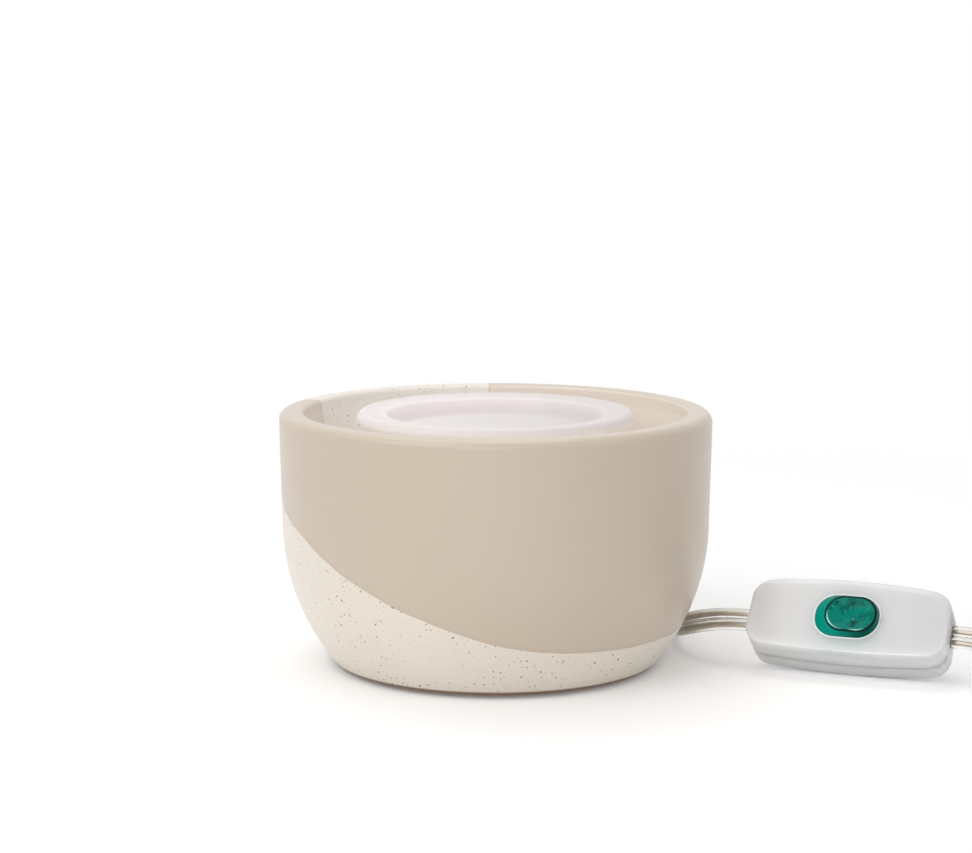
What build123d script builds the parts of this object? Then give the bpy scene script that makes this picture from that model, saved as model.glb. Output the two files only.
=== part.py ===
from build123d import *

import os
from math import ceil, cos, pi, radians, sin, sqrt, tan

# Wax melt warmer: a ceramic bowl with a low-watt heating plate, a lift-out silicone
# dish, and a flat clear twin lead with a push-button switch. Millimetres, +Z up.
# The origin is on the table under the bowl's centre, and -Y faces the viewer.

# Shared clearances
overrun = 1.0          # how far a cut runs past the face it opens
slip = 0.10            # gap all round a piece that is slid into its place
thread_fit = 0.05      # gap round a screw in its tapped hole
wire_fit = 0.05        # gap round a wire in a sleeve or hole

# Ceramic bowl, thrown with a rounded rim and a belly that is one arc
bowl_radius = 63.5
bowl_height = 74.6
rim_width = 7.0
side_taper = 1.95      # degrees, the side opens towards the rim
belly_top = 40.0
belly_radius = 64.0
bowl_wall = 6.5
foot_gap = 0.8         # the foot ring stays clear of the table, the feet carry it
foot_edge_round = 1.3
recess_taper = 1.6     # how much narrower the recess is at the deck
recess_corner = 4.0
recess_depth = 14.6    # from the rim's top down to the deck
deck_thickness = 7.0
deck_hole_radius = 27.0
rebate_radius = 41.0   # inner edge of the foot ring, where the base cover sits
ledge_radius = 38.0
ledge_height = 4.0
ledge_thickness = 3.0

# Silicone dish, free to lift off the plate
dish_radius = 40.6
dish_stand = 0.7       # the dish's lip stands this far above the bowl's rim
dish_lip_width = 5.2
dish_lip_drop = 2.2
dish_depth = 6.2
dish_floor_radius = 32.0
dish_floor = 2.4
dish_base_radius = 36.4
dish_edge = 2.6        # height of the lip's upright edge
dish_edge_round = 1.0
dish_floor_round = 2.4
dish_base_round = 0.8

# Heating plate, a turned aluminium puck that passes through the deck
plate_radius = 33.0
plate_edge = 0.8
boss_radius = 25.5
boss_depth = 8.0       # below the deck's upper face
pocket_radius = 19.5
gasket_thickness = 1.0
gasket_inset = 0.6     # the gasket's edge lies this far inside the plate's

# Heating element and what holds it
mica_thickness = 0.5
ribbon_thickness = 0.3
ribbon_width = 2.0
ribbon_pitch = 3.6
ribbon_margin = 1.6
felt_thickness = 2.1
bracket_thickness = 1.5
bracket_hub_radius = 25.0
bracket_end = 5.5      # from the posts' centres to the arms' ends
bracket_arm_width = 10.0
pad_margin = 1.25      # between a pad's ends and the arm's end or the deck's hole
terminal_radius = 0.6
terminal_spacing = 20.0
terminal_offset = -6.0
terminal_length = 9.5
bead_radius = 2.0
bead_drop = 2.5
bead_collar_radius = 2.8
bead_collar = 0.8

# Screws, all with low round heads
m3_radius = 1.5
m3_head_radius = 2.8
m3_head_height = 1.6
clamp_screw_circle = 22.5
clamp_screw_length = 6.0
arm_angles = (30.0, 150.0, 270.0)
screw_angles = (90.0, 210.0, 330.0)

# Posts that tie the base cover to the bracket
post_inset = 7.0       # from the bowl's inner ledge to the posts' centres
post_radius = 3.2
post_spigot_radius = 1.8
post_tap_depth = 9.0
cover_screw_length = 8.0

# Base cover and feet
cover_thickness = 2.2
cover_slip = 0.5
cover_rib_height = 2.0
cover_rib_width = 1.6
cover_rib_gap = 2.2    # between the ring rib and the posts
vent_count = 5
vent_inner_radius = 10.0
vent_outer_radius = 19.0
vent_width = 2.6
vent_phase_share = 0.25
head_recess = 1.5
foot_radius = 4.5
foot_circle = 34.2
foot_pocket = 0.6
foot_angles = (45.0, 135.0, 225.0, 315.0)
foot_edge = 0.5

# Flat twin lead
cord_width = 6.8
cord_thickness = 3.4
core_radius = 1.25
cord_lift = 0.1        # how far a lead's tube stays off the table
lead_straight = 8.0    # how far a lead runs straight out of the switch
inlet_height = 13.0

# Rubber bushing with its tapered strain relief
bushing_barrel_radius = 4.6
bushing_seat = 51.6    # where the collar meets the bowl's spot face
bushing_collar_radius = 5.8
inlet_boss_radius = 8.6
bushing_collar = 2.4
bushing_inner_face = 42.6
bushing_flange = 2.0
relief_length = 24.0
relief_root_radius = 5.4
relief_tip_radius = 4.3
relief_groove_count = 4
relief_groove_width = 1.4
relief_groove_depth_share = 0.4
lead_inner_end = 22.0
bend_share = 0.45      # of the shorter run that a lead's bend takes up

# Cord clamp on the base cover
clamp_gap = 3.6        # between the clamp and the bushing's flange
clamp_width = 8.0
clamp_thickness = 2.2
clamp_screw_spacing = 13.0
clamp_post_radius = 2.6
clamp_screw_radius = 1.1
clamp_head_radius = 2.2
clamp_head_height = 1.4
clamp_screw_depth = 6.0

# Thermal fuse under the bracket
fuse_radius = 2.0
fuse_length = 11.0
fuse_lead_radius = 0.5
fuse_lead_length = 6.0
fuse_clip_thickness = 0.6
fuse_clip_width = 5.0
fuse_clip_foot = 5.0
fuse_row = 6.0         # the fuse lies this far behind the centre
sleeve_radius = 1.9
sleeve_length = 7.0
crimp_share = 0.8      # of the sleeve's radius that is left where it is crimped

# In-line switch, in its own frame: X along the lead, Z out of the button's face
switch_length = 58.0
switch_width = 24.0
switch_end_width = 20.4
switch_thickness = 16.0
switch_corner = 6.0
switch_face_edge = 1.9
switch_back_edge = 3.0
switch_crown = 0.8     # how far the face swells along its length
switch_wall = 1.6
switch_place_x = 102.6
switch_place_y = -17.8
switch_turn = -21.4    # degrees, its right end comes towards the viewer
switch_face_rise = 40.0  # degrees, how far the face looks up from level
opening_length = 20.0
opening_width = 14.6
opening_corner = 6.4
opening_edge = 0.4
button_gap = 0.3
button_top_length = 15.5
button_top_width = 11.8
button_top_corner = 5.2
button_top_shift = 1.7
button_rise = 2.0
button_flange = 1.0
button_flange_margin = 0.8
button_dish = 0.5      # how far the thumb's hollow goes into the button's top
button_travel = 1.8
board_length = 33.0
board_width = 15.0
board_thickness = 1.2
board_height = -4.0    # underside of the board
push_body_side = 8.5
push_body_height = 4.5
plunger_radius = 1.7
plunger_engagement = 0.6
shell_screw_x = 20.6
shell_screw_y = 6.4
shell_screw_radius = 1.1
shell_head_radius = 2.1
shell_head_height = 1.4
shell_boss_radius = 2.5
grip_place = 25.4
grip_thickness = 1.4
peg_radius = 1.1
peg_x = 14.2
peg_y = 5.2

# Parts on the switch's board
led_radius = 1.5
led_height = 4.6
led_collar = 0.8
led_place = (6.6, 4.4)
chip_size = (5.0, 4.0, 1.5)
chip_place = (9.6, -3.2)
triac_size = (4.6, 3.6, 4.8)
triac_place = (12.0, 4.9)
capacitor_size = (8.0, 4.0, 6.0)
capacitor_place = (-12.0, 4.6)
resistor_radius = 1.2
resistor_length = 6.6
resistor_place = (-11.4, -4.4)
board_part_edge_share = 0.1

# Wires inside the bowl: points chosen by hand, as shares of the ledge's radius and
# of the rise from the inlet to the fuse
neutral_wire_shares = [(-0.079, 0.158, 0.056), (-0.211, -0.105, 0.254)]
neutral_knee_share = 0.451
line_wire_shares = [
    (-0.158, 0.263, 0.141),
    (-0.447, 0.105, 0.310),
    (-0.737, 0.026, 0.507),
    (-0.868, 0.053, 0.761),
]
link_wire_shares = [
    (0.868, 0.026, 0.817),
    (0.816, -0.105, 0.563),
    (0.579, -0.184, 0.394),
    (0.316, -0.174, 0.366),
]
link_knee_share = 0.479
line_wire_run = 11.5   # straight out of the fuse's sleeve
link_wire_run = 8.5

# Lead routes, each a list of points chosen by hand
lead_to_switch_route = [
    (2.5, 103.0, 10.8),
    (10.0, 115.0, 7.2),
    (22.0, 122.0, 4.6),
    (36.0, 121.5, 3.5),
    (48.0, 114.0, 3.5),
    (55.5, 101.0, 3.5),
    (58.0, 85.0, 3.5),
    (57.4, 69.0, 3.5),
    (56.0, 54.0, 3.6),
    (55.4, 40.0, 4.3),
    (55.2, 27.0, 6.0),
    (55.3, 15.6, 8.2),
    (57.8, 7.5, 10.1),
    (61.9, 0.9, 12.0),
]
lead_to_coil_route = [
    (147.0, -34.6, 10.4),
    (160.0, -37.2, 6.6),
    (173.0, -37.0, 4.0),
]
lead_to_plug_route = [
    (247.8, 42.0, 8.6),
    (251.5, 55.0, 5.6),
    (257.5, 67.0, 5.4),
]

# Coil of the put-away length, beside the switch
coil_centre_x = 200.0
coil_centre_y = 8.0
coil_start_radius = 44.0
coil_gap = 0.7
coil_inward_count = 9  # quarter turns on the lower layer
coil_climb_count = 2
coil_outward_count = 10
coil_start_angle = -90.0

# Plug
plug_length = 33.0
plug_width = 23.0
plug_thickness = 13.0
plug_rear_width = 12.0
plug_rear_thickness = 9.6
plug_shoulder_share = 0.45
plug_corner = 3.0
plug_relief_length = 20.0
plug_place = (271.0, 88.0)
plug_turn = 54.0       # degrees from +X
blade_thickness = 1.5
blade_width = 6.35
wide_blade_width = 7.9
blade_length = 17.0
blade_spacing = 12.7
blade_root = 6.0
blade_hole_radius = 1.6
blade_hole_share = 0.7
blade_tip = 1.2
plug_waist = 1.4       # depth of the finger grips in the plug's flanks
plug_waist_radius = 15.0

# Worked out from the sizes above
rim_round = rim_width / 2
rim_round_height = bowl_height - rim_round
belly_top_radius = bowl_radius - tan(radians(side_taper)) * (rim_round_height - belly_top)
belly_centre_x = belly_top_radius - belly_radius * cos(radians(side_taper))
belly_centre_z = belly_top + belly_radius * sin(radians(side_taper))
deck_top = bowl_height - recess_depth
deck_under = deck_top - deck_thickness
ledge_top = ledge_height + ledge_thickness
post_circle = ledge_radius - post_inset
clamp_place = bushing_inner_face - bushing_flange - clamp_gap - clamp_width / 2
bracket_reach = post_circle + bracket_end
pad_length = bracket_reach - deck_hole_radius - 2 * pad_margin
cover_rib_radius = post_circle - post_radius - cover_rib_gap - cover_rib_width
dish_top = bowl_height + dish_stand
dish_base = dish_top - dish_depth - dish_floor
plate_under = deck_top + gasket_thickness
boss_under = deck_top - boss_depth
pocket_top = boss_under + felt_thickness + ribbon_thickness + 2 * mica_thickness
bracket_under = boss_under - bracket_thickness
cover_under = ledge_height - cover_thickness
relief_tip = bushing_seat + bushing_collar + relief_length
cord_radius = cord_width / 2
cord_rest = cord_radius + cord_lift
switch_half = switch_thickness / 2
switch_inner_half = switch_half - switch_wall
face_top = switch_half + switch_crown
board_top = board_height + board_thickness
push_top = board_top + push_body_height
axis_along = Vector(cos(radians(switch_turn)), sin(radians(switch_turn)), 0)
axis_level = Vector(-sin(radians(switch_turn)), cos(radians(switch_turn)), 0)
axis_face = (axis_level * -cos(radians(switch_face_rise))
             + Vector(0, 0, 1) * sin(radians(switch_face_rise)))

parts = {}


def belly(height, inset=0.0):
    """Radius of the bowl's belly arc at a height, drawn in by an inset."""
    reach = (belly_radius - inset) ** 2 - (height - belly_centre_z) ** 2
    return belly_centre_x + sqrt(reach)


def belly_arc(low, high, inset=0.0):
    """The belly's arc between two heights, drawn in by an inset."""
    points = [(belly(z, inset), z) for z in (low, (low + high) / 2, high)]
    return ThreePointArc(*points)


def path_of(points):
    """Straight lines through a list of points."""
    return [Line(a, b) for a, b in zip(points, points[1:])]


def rounded(face, point, radius):
    """Rounds the corner of a face that is nearest to a point."""
    corner = face.vertices().sort_by_distance((*point, 0))[0]
    return fillet(corner, radius)


def turned(face):
    """Turns a section, drawn in radius and height, about the vertical axis."""
    return revolve(Plane.XZ * face, Axis.Z)


def ring(outer, inner, low, high):
    """A flat ring between two heights, with no hole if inner is nothing."""
    face = Circle(outer) - Circle(inner) if inner else Circle(outer)
    return Pos(0, 0, low) * extrude(face, high - low)


def rod(radius, low, high):
    """A round rod along Z between two heights."""
    return Pos(0, 0, low) * extrude(Circle(radius), high - low)


def around(shape, angles, distance):
    """Copies of a shape about the vertical axis, each at its angle and distance."""
    return [Rot(0, 0, angle) * Pos(distance, 0, 0) * shape for angle in angles]


def screw(shank_radius, shank_length, head_radius, head_height):
    """A screw with its head's seat at zero, its shank upwards and its head below."""
    head = rod(head_radius, -head_height, 0)
    head = chamfer(head.edges().group_by(Axis.Z)[0], head_height / 4)
    return head + rod(shank_radius, 0, shank_length)


def stadium(length, width, depth):
    """A bar along Z whose section has round ends, with its length along Y."""
    return extrude(SlotOverall(length, width, rotation=90), depth)


def on_y(shape, y, z):
    """Lays a shape that was drawn along Z so that it runs towards the viewer."""
    return Pos(0, y, z) * Rot(90, 0, 0) * shape


def corner_radius(before, corner, after):
    """The arc that a lead's corner has room for, from its two runs and its turn."""
    one = Vector(*corner) - Vector(*before)
    two = Vector(*after) - Vector(*corner)
    turn = radians(one.get_angle(two))
    return bend_share * min(one.length, two.length) / tan(turn / 2)


def lead(points, radius, name):
    """A lead's tube: straight runs joined by the arcs that they have room for."""
    radii = [corner_radius(*points[i - 1:i + 2]) for i in range(1, len(points) - 1)]
    path = FilletPolyline(*points, radius=radii)
    start = Plane(origin=path @ 0, z_dir=path % 0)
    tube = sweep(start * Circle(radius), path=path)
    share = tube.volume / (pi * radius ** 2 * path.length)
    print(name, "length", round(path.length, 1), "volume share", round(share, 4),
          "least radius", round(min(radii), 1), "radii", [round(r, 1) for r in radii])
    return tube


def make_bowl():
    """The ceramic bowl: rim, recess, deck with its hole, cavity and foot ring."""
    foot = belly(foot_gap)
    recess_top = bowl_radius - rim_width
    recess_low = recess_top - recess_taper
    deck_corner = (recess_low, deck_top)
    cavity_top = belly(deck_under, bowl_wall)
    cavity_low = belly(ledge_top, bowl_wall)
    edges = path_of([(rebate_radius, foot_gap), (foot, foot_gap)])
    edges += [belly_arc(foot_gap, belly_top)]
    edges += path_of([(belly_top_radius, belly_top), (bowl_radius, rim_round_height)])
    edges += [ThreePointArc((bowl_radius, rim_round_height),
                            (bowl_radius - rim_round, bowl_height),
                            (recess_top, rim_round_height))]
    edges += path_of([(recess_top, rim_round_height), deck_corner,
                      (deck_hole_radius, deck_top), (deck_hole_radius, deck_under),
                      (cavity_top, deck_under)])
    edges += [belly_arc(ledge_top, deck_under, bowl_wall)]
    edges += path_of([(cavity_low, ledge_top), (ledge_radius, ledge_top),
                      (ledge_radius, ledge_height), (rebate_radius, ledge_height),
                      (rebate_radius, foot_gap)])
    face = make_face(edges)
    face = rounded(face, deck_corner, recess_corner)
    face = rounded(face, (foot, foot_gap), foot_edge_round)
    body = turned(face)
    hole = on_y(rod(bushing_barrel_radius + slip, 0, bowl_radius), bowl_radius, inlet_height)
    outer_seat = on_y(rod(bushing_collar_radius + slip, 0, bowl_radius - bushing_seat),
                      bowl_radius, inlet_height)
    inner_seat = on_y(rod(bushing_collar_radius + slip, 0, bushing_flange + overrun),
                      bushing_inner_face, inlet_height)
    boss = rod(inlet_boss_radius, 0, bushing_seat - bushing_inner_face)
    body += on_y(boss, bushing_seat, inlet_height)
    return body - hole - outer_seat - inner_seat


def make_dish():
    """The silicone dish: a flared lip, a low wall and a flat floor on the plate."""
    lip_inner = (dish_radius - dish_lip_width, dish_top - dish_lip_drop)
    floor_edge = (dish_floor_radius, dish_top - dish_depth)
    lip_edge = (dish_radius, dish_top)
    base_edge = (dish_base_radius, dish_base)
    points = [(0, dish_base), base_edge, (dish_radius, dish_top - dish_edge), lip_edge,
              lip_inner, floor_edge, (0, dish_top - dish_depth), (0, dish_base)]
    face = make_face(path_of(points))
    face = rounded(face, lip_edge, dish_edge_round)
    face = rounded(face, floor_edge, dish_floor_round)
    face = rounded(face, base_edge, dish_base_round)
    return turned(face)


def make_plate():
    """The heating plate, with a pocket for the element and tapped screw holes."""
    top = ring(plate_radius, 0, plate_under, dish_base)
    top = chamfer(top.edges().group_by(Axis.Z)[-1], plate_edge)
    body = top + ring(boss_radius, 0, boss_under, plate_under)
    body -= ring(pocket_radius, 0, boss_under - overrun, pocket_top)
    hole = rod(m3_radius + thread_fit, boss_under - overrun, boss_under + clamp_screw_length)
    for copy in around(hole, screw_angles, clamp_screw_circle):
        body -= copy
    return body


def make_gasket():
    return ring(plate_radius - gasket_inset, deck_hole_radius, deck_top, plate_under)


def make_ribbon(low):
    """The flat resistance wire, laid in rows that join at alternate ends."""
    reach = pocket_radius - slip - ribbon_margin
    rows = int(reach / ribbon_pitch)
    heights = [row * ribbon_pitch for row in range(-rows, rows + 1)]
    halves = [sqrt(reach ** 2 - (abs(y) + ribbon_width / 2) ** 2) for y in heights]
    strip = Sketch()
    for y, half in zip(heights, halves):
        strip += Pos(0, y) * Rectangle(2 * half, ribbon_width)
    for i in range(len(heights) - 1):
        side = 1 if i % 2 else -1
        x = side * (min(halves[i], halves[i + 1]) - ribbon_width / 2)
        y = (heights[i] + heights[i + 1]) / 2
        strip += Pos(x, y) * Rectangle(ribbon_width, ribbon_pitch)
    return Pos(0, 0, low) * extrude(strip, ribbon_thickness)


def make_bracket():
    """The pressed bracket: a hub under the plate and three arms under the deck."""
    face = Circle(bracket_hub_radius)
    arm = Pos(bracket_reach / 2, 0) * Rectangle(bracket_reach, bracket_arm_width)
    for angle in arm_angles:
        face += Rot(0, 0, angle) * arm
    face = fillet(face.vertices().group_by(lambda v: round(Vector(v).length))[-1],
                  bracket_arm_width / 4)
    body = Pos(0, 0, bracket_under) * extrude(face, bracket_thickness)
    low, high = bracket_under - overrun, boss_under + overrun
    for copy in around(rod(m3_radius + slip, low, high), screw_angles, clamp_screw_circle):
        body -= copy
    for copy in around(rod(post_spigot_radius, low, high), arm_angles, post_circle):
        body -= copy
    for x in (-terminal_spacing / 2, terminal_spacing / 2):
        body -= Pos(x, terminal_offset, 0) * rod(bead_radius, low, high)
    return body


def make_posts():
    """Three posts, riveted to the arms and tapped for the cover's screws."""
    post = rod(post_radius, ledge_height, bracket_under)
    post += rod(post_spigot_radius, bracket_under, boss_under)
    post -= rod(m3_radius + thread_fit, ledge_height - overrun, ledge_height + post_tap_depth)
    return around(post, arm_angles, post_circle)


def make_cover():
    """The moulded base cover, with vents, ribs, foot pockets and the clamp's posts."""
    radius = rebate_radius - cover_slip
    body = ring(radius, 0, cover_under, ledge_height)
    rib_top = ledge_height + cover_rib_height
    body += ring(cover_rib_radius + cover_rib_width, cover_rib_radius, ledge_height, rib_top)
    post_low = ledge_height
    post_high = inlet_height + cord_width / 2
    for x in (-clamp_screw_spacing / 2, clamp_screw_spacing / 2):
        body += Pos(x, clamp_place, 0) * rod(clamp_post_radius, post_low, post_high)
        tap = rod(clamp_screw_radius + thread_fit, post_high - clamp_screw_depth, post_high + overrun)
        body -= Pos(x, clamp_place, 0) * tap
    rest_height = inlet_height - cord_width / 2 - ledge_height
    rest = Box(cord_thickness, clamp_width, rest_height,
               align=(Align.CENTER, Align.CENTER, Align.MIN))
    body += Pos(0, clamp_place, ledge_height) * rest
    slot = SlotCenterToCenter(vent_outer_radius - vent_inner_radius, vent_width)
    slot = extrude(slot, cover_thickness + 2 * overrun)
    middle = (vent_inner_radius + vent_outer_radius) / 2
    for i in range(vent_count):
        turn = Rot(0, 0, 360 / vent_count * (i + vent_phase_share))
        body -= turn * Pos(middle, 0, cover_under - overrun) * slot
    hole = rod(m3_radius + slip, cover_under - overrun, ledge_height + overrun)
    hole += rod(m3_head_radius + slip, cover_under - overrun, cover_under + head_recess)
    for copy in around(hole, arm_angles, post_circle):
        body -= copy
    pocket = rod(foot_radius, cover_under - overrun, cover_under + foot_pocket)
    for copy in around(pocket, foot_angles, foot_circle):
        body -= copy
    return body


def make_feet():
    foot = rod(foot_radius, 0, cover_under + foot_pocket)
    foot = fillet(foot.edges().group_by(Axis.Z)[0], foot_edge)
    return around(foot, foot_angles, foot_circle)


def make_bushing():
    """The bushing: inner flange, barrel, collar and a grooved, tapered relief."""
    collar_end = bushing_seat + bushing_collar
    grip = (collar_end - relief_tip)
    cone = Cone(relief_root_radius, relief_tip_radius, -grip,
                align=(Align.CENTER, Align.CENTER, Align.MIN))
    body = rod(bushing_collar_radius, bushing_inner_face - bushing_flange, bushing_inner_face)
    body += rod(bushing_barrel_radius, bushing_inner_face, bushing_seat)
    body += rod(bushing_collar_radius, bushing_seat, collar_end)
    body += Pos(0, 0, collar_end) * cone
    wall = relief_tip_radius - cord_width / 2
    step = relief_length / (relief_groove_count + 1)
    for i in range(relief_groove_count):
        place = collar_end + step * (i + 1)
        share = step * (i + 1) / relief_length
        skin = relief_root_radius + (relief_tip_radius - relief_root_radius) * share
        floor_radius = skin - wall * relief_groove_depth_share
        body -= ring(relief_root_radius + overrun, floor_radius, place, place + relief_groove_width)
    core = stadium(cord_width + 2 * wire_fit, cord_thickness + 2 * wire_fit, relief_tip)
    body -= core
    # drawn up along Z, then laid down so that it points away from the viewer
    return Pos(0, 0, inlet_height) * Rot(-90, 0, 0) * body


def make_inner_lead():
    """The flat lead from the relief's tip to where its two cores part."""
    length = relief_tip - lead_inner_end
    return Pos(0, lead_inner_end, inlet_height) * Rot(-90, 0, 0) * stadium(
        cord_width, cord_thickness, length)


def make_clamp_bar():
    low = inlet_height + cord_width / 2
    length = clamp_screw_spacing + 2 * clamp_post_radius
    bar = extrude(SlotOverall(length, clamp_width), clamp_thickness)
    bar = Pos(0, clamp_place, low) * bar
    for x in (-clamp_screw_spacing / 2, clamp_screw_spacing / 2):
        hole = rod(clamp_screw_radius + slip, low - overrun, low + clamp_thickness + overrun)
        bar -= Pos(x, clamp_place, 0) * hole
    return bar


def make_clamp_screws():
    low = inlet_height + cord_width / 2 + clamp_thickness
    length = clamp_thickness + clamp_screw_depth - overrun
    part = screw(clamp_screw_radius, length, clamp_head_radius, clamp_head_height)
    part = Pos(0, clamp_place, low) * Rot(180, 0, 0) * part
    return [Pos(x, 0, 0) * part for x in (-clamp_screw_spacing / 2, clamp_screw_spacing / 2)]


fuse_height = bracket_under - fuse_radius


def make_fuse():
    """The thermal fuse, lying against the bracket, with its two leads."""
    body = rod(fuse_radius, -fuse_length / 2, fuse_length / 2)
    reach = fuse_length / 2 + fuse_lead_length
    body += rod(fuse_lead_radius, -reach, reach)
    return Pos(0, fuse_row, fuse_height) * Rot(0, 90, 0) * body


def make_fuse_clip():
    """The saddle that presses the fuse to the bracket, with two flat feet."""
    inner = fuse_radius + wire_fit
    outer = inner + fuse_clip_thickness
    span = outer + fuse_clip_foot
    below = Pos(0, -outer) * Rectangle(2 * outer, 2 * outer)
    face = (Circle(outer) - Circle(inner)) & below
    for side in (-1, 1):
        wall = Rectangle(fuse_clip_thickness, fuse_radius, align=(Align.CENTER, Align.MIN))
        face += Pos(side * (inner + fuse_clip_thickness / 2), 0) * wall
        foot = Rectangle(span - inner, fuse_clip_thickness, align=(Align.CENTER, Align.MAX))
        face += Pos(side * (inner + span) / 2, fuse_radius) * foot
    # drawn across Y and Z, with the flat feet against the bracket
    plane = Plane(origin=(0, fuse_row, fuse_height), x_dir=(0, 1, 0), z_dir=(1, 0, 0))
    return plane * extrude(face, fuse_clip_width / 2, both=True)


terminal_low = pocket_top - mica_thickness - ribbon_thickness - terminal_length


def make_terminals():
    pin = rod(terminal_radius, terminal_low, pocket_top - mica_thickness - ribbon_thickness)
    places = (-terminal_spacing / 2, terminal_spacing / 2)
    return [Pos(x, terminal_offset, 0) * pin for x in places]


def make_beads():
    """Ceramic beads that keep the two terminals clear of the bracket."""
    low = bracket_under - bead_drop
    bead = rod(bead_radius - wire_fit, low, boss_under)
    bead += ring(bead_collar_radius, 0, bracket_under - bead_collar, bracket_under)
    bead -= rod(terminal_radius + wire_fit, low - overrun, boss_under + overrun)
    places = (-terminal_spacing / 2, terminal_spacing / 2)
    return [Pos(x, terminal_offset, 0) * bead for x in places]


def pierced(disc, low, high):
    """Cuts the two terminal holes through a disc."""
    for x in (-terminal_spacing / 2, terminal_spacing / 2):
        hole = rod(terminal_radius + wire_fit, low - overrun, high + overrun)
        disc -= Pos(x, terminal_offset, 0) * hole
    return disc


def make_sleeve(place, direction):
    """A crimped sleeve that starts at a lead's end and runs on past it."""
    plane = Plane(origin=place, z_dir=direction)
    sleeve = extrude(Circle(sleeve_radius), sleeve_length)
    sleeve = chamfer(sleeve.edges(), sleeve_radius / 6)
    middle = Pos(0, 0, sleeve_length / 2)
    crimp = ring(sleeve_radius, sleeve_radius * crimp_share, -sleeve_length / 6, sleeve_length / 6)
    return plane * (sleeve - middle * crimp)


def switch_outline(inset, corner):
    """The housing's outline: bowed long sides, straight ends and round corners."""
    half_length = switch_length / 2 - inset
    half_end = switch_end_width / 2 - inset
    half_width = switch_width / 2 - inset
    sides = [ThreePointArc((-half_length, s * half_end), (0, s * half_width),
                           (half_length, s * half_end)) for s in (-1, 1)]
    ends = [Line((s * half_length, -half_end), (s * half_length, half_end)) for s in (-1, 1)]
    face = make_face(sides + ends)
    return fillet(face.vertices(), corner)


def switch_block():
    """The closed housing before it is hollowed and parted."""
    outline = switch_outline(0, switch_corner)
    block = Pos(0, 0, -switch_half) * extrude(outline, switch_thickness + switch_crown)
    crown_radius = ((switch_length / 2) ** 2 + switch_crown ** 2) / (2 * switch_crown)
    drum = Cylinder(crown_radius, 2 * switch_width, rotation=(90, 0, 0))
    block &= Pos(0, 0, face_top - crown_radius) * drum
    back = block.edges().filter_by(lambda e: e.center().Z < -switch_half + slip)
    block = fillet(back, switch_back_edge)
    front = block.edges().filter_by(lambda e: e.center().Z > switch_half - slip)
    return fillet(front, switch_face_edge)


def switch_hollow():
    """The space inside the housing."""
    face = switch_outline(switch_wall, switch_corner - switch_wall)
    hollow = Pos(0, 0, -switch_inner_half) * extrude(face, 2 * switch_inner_half)
    rims = hollow.edges().group_by(Axis.Z)
    hollow = fillet(rims[0], switch_back_edge - switch_wall)
    rims = hollow.edges().group_by(Axis.Z)
    return fillet(rims[-1], switch_face_edge - switch_wall)


def lead_slot():
    """The flat lead's way through both ends of the housing."""
    bar = stadium(cord_width + 2 * wire_fit, cord_thickness + 2 * wire_fit,
                  switch_length + 2 * overrun)
    return Pos(-switch_length / 2 - overrun, 0, 0) * Rot(0, 90, 0) * bar


shell_screw_places = ((shell_screw_x, shell_screw_y), (-shell_screw_x, -shell_screw_y))


def grips(low, high):
    """Ribs that bite on the flat lead inside each end of the housing."""
    height = high - low
    rib = Box(grip_thickness, cord_width, height, align=(Align.CENTER, Align.CENTER, Align.MIN))
    return [Pos(s * grip_place, 0, low) * rib for s in (-1, 1)]


def make_face_shell():
    """The upper shell, with the button's opening and two screw bosses."""
    upper = Box(2 * switch_length, 2 * switch_width, switch_thickness,
                align=(Align.CENTER, Align.CENTER, Align.MIN))
    body = (switch_block() - switch_hollow()) & upper
    for x, y in shell_screw_places:
        boss = Pos(x, y, 0) * rod(shell_boss_radius, 0, switch_inner_half)
        body += boss & switch_block()
        tap = rod(shell_screw_radius + thread_fit, -overrun, switch_inner_half - switch_wall)
        body -= Pos(x, y, 0) * tap
    for rib in grips(cord_thickness / 2 + wire_fit, switch_inner_half):
        body += rib
    hole = RectangleRounded(opening_length, opening_width, opening_corner)
    body -= Pos(0, 0, switch_inner_half - overrun) * extrude(hole, switch_half)
    rim = body.edges().filter_by(lambda e: e.center().Z > switch_half
                                 and abs(e.center().X) < opening_length / 2 + slip
                                 and abs(e.center().Y) < opening_width / 2 + slip)
    body = chamfer(rim, opening_edge)
    return body - lead_slot()


def make_rear_shell():
    """The lower shell, with screw wells, lead grips and the board's pegs."""
    lower = Box(2 * switch_length, 2 * switch_width, switch_thickness,
                align=(Align.CENTER, Align.CENTER, Align.MAX))
    body = (switch_block() - switch_hollow()) & lower
    for x, y in shell_screw_places:
        boss = Pos(x, y, 0) * rod(shell_boss_radius, -switch_inner_half, 0)
        body += boss & switch_block()
        well = rod(shell_head_radius + slip, -switch_half - overrun, -switch_inner_half)
        well += rod(shell_screw_radius + slip, -switch_half - overrun, overrun)
        body -= Pos(x, y, 0) * well
    for rib in grips(-switch_inner_half, -cord_thickness / 2 - wire_fit):
        body += rib
    for x in (-peg_x, peg_x):
        for y in (-peg_y, peg_y):
            body += Pos(x, y, 0) * rod(peg_radius, -switch_inner_half, board_height)
    return body - lead_slot()


def make_shell_screws():
    length = switch_inner_half + switch_inner_half - switch_wall - overrun
    part = screw(shell_screw_radius, length, shell_head_radius, shell_head_height)
    return [Pos(x, y, -switch_inner_half) * part for x, y in shell_screw_places]


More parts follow.
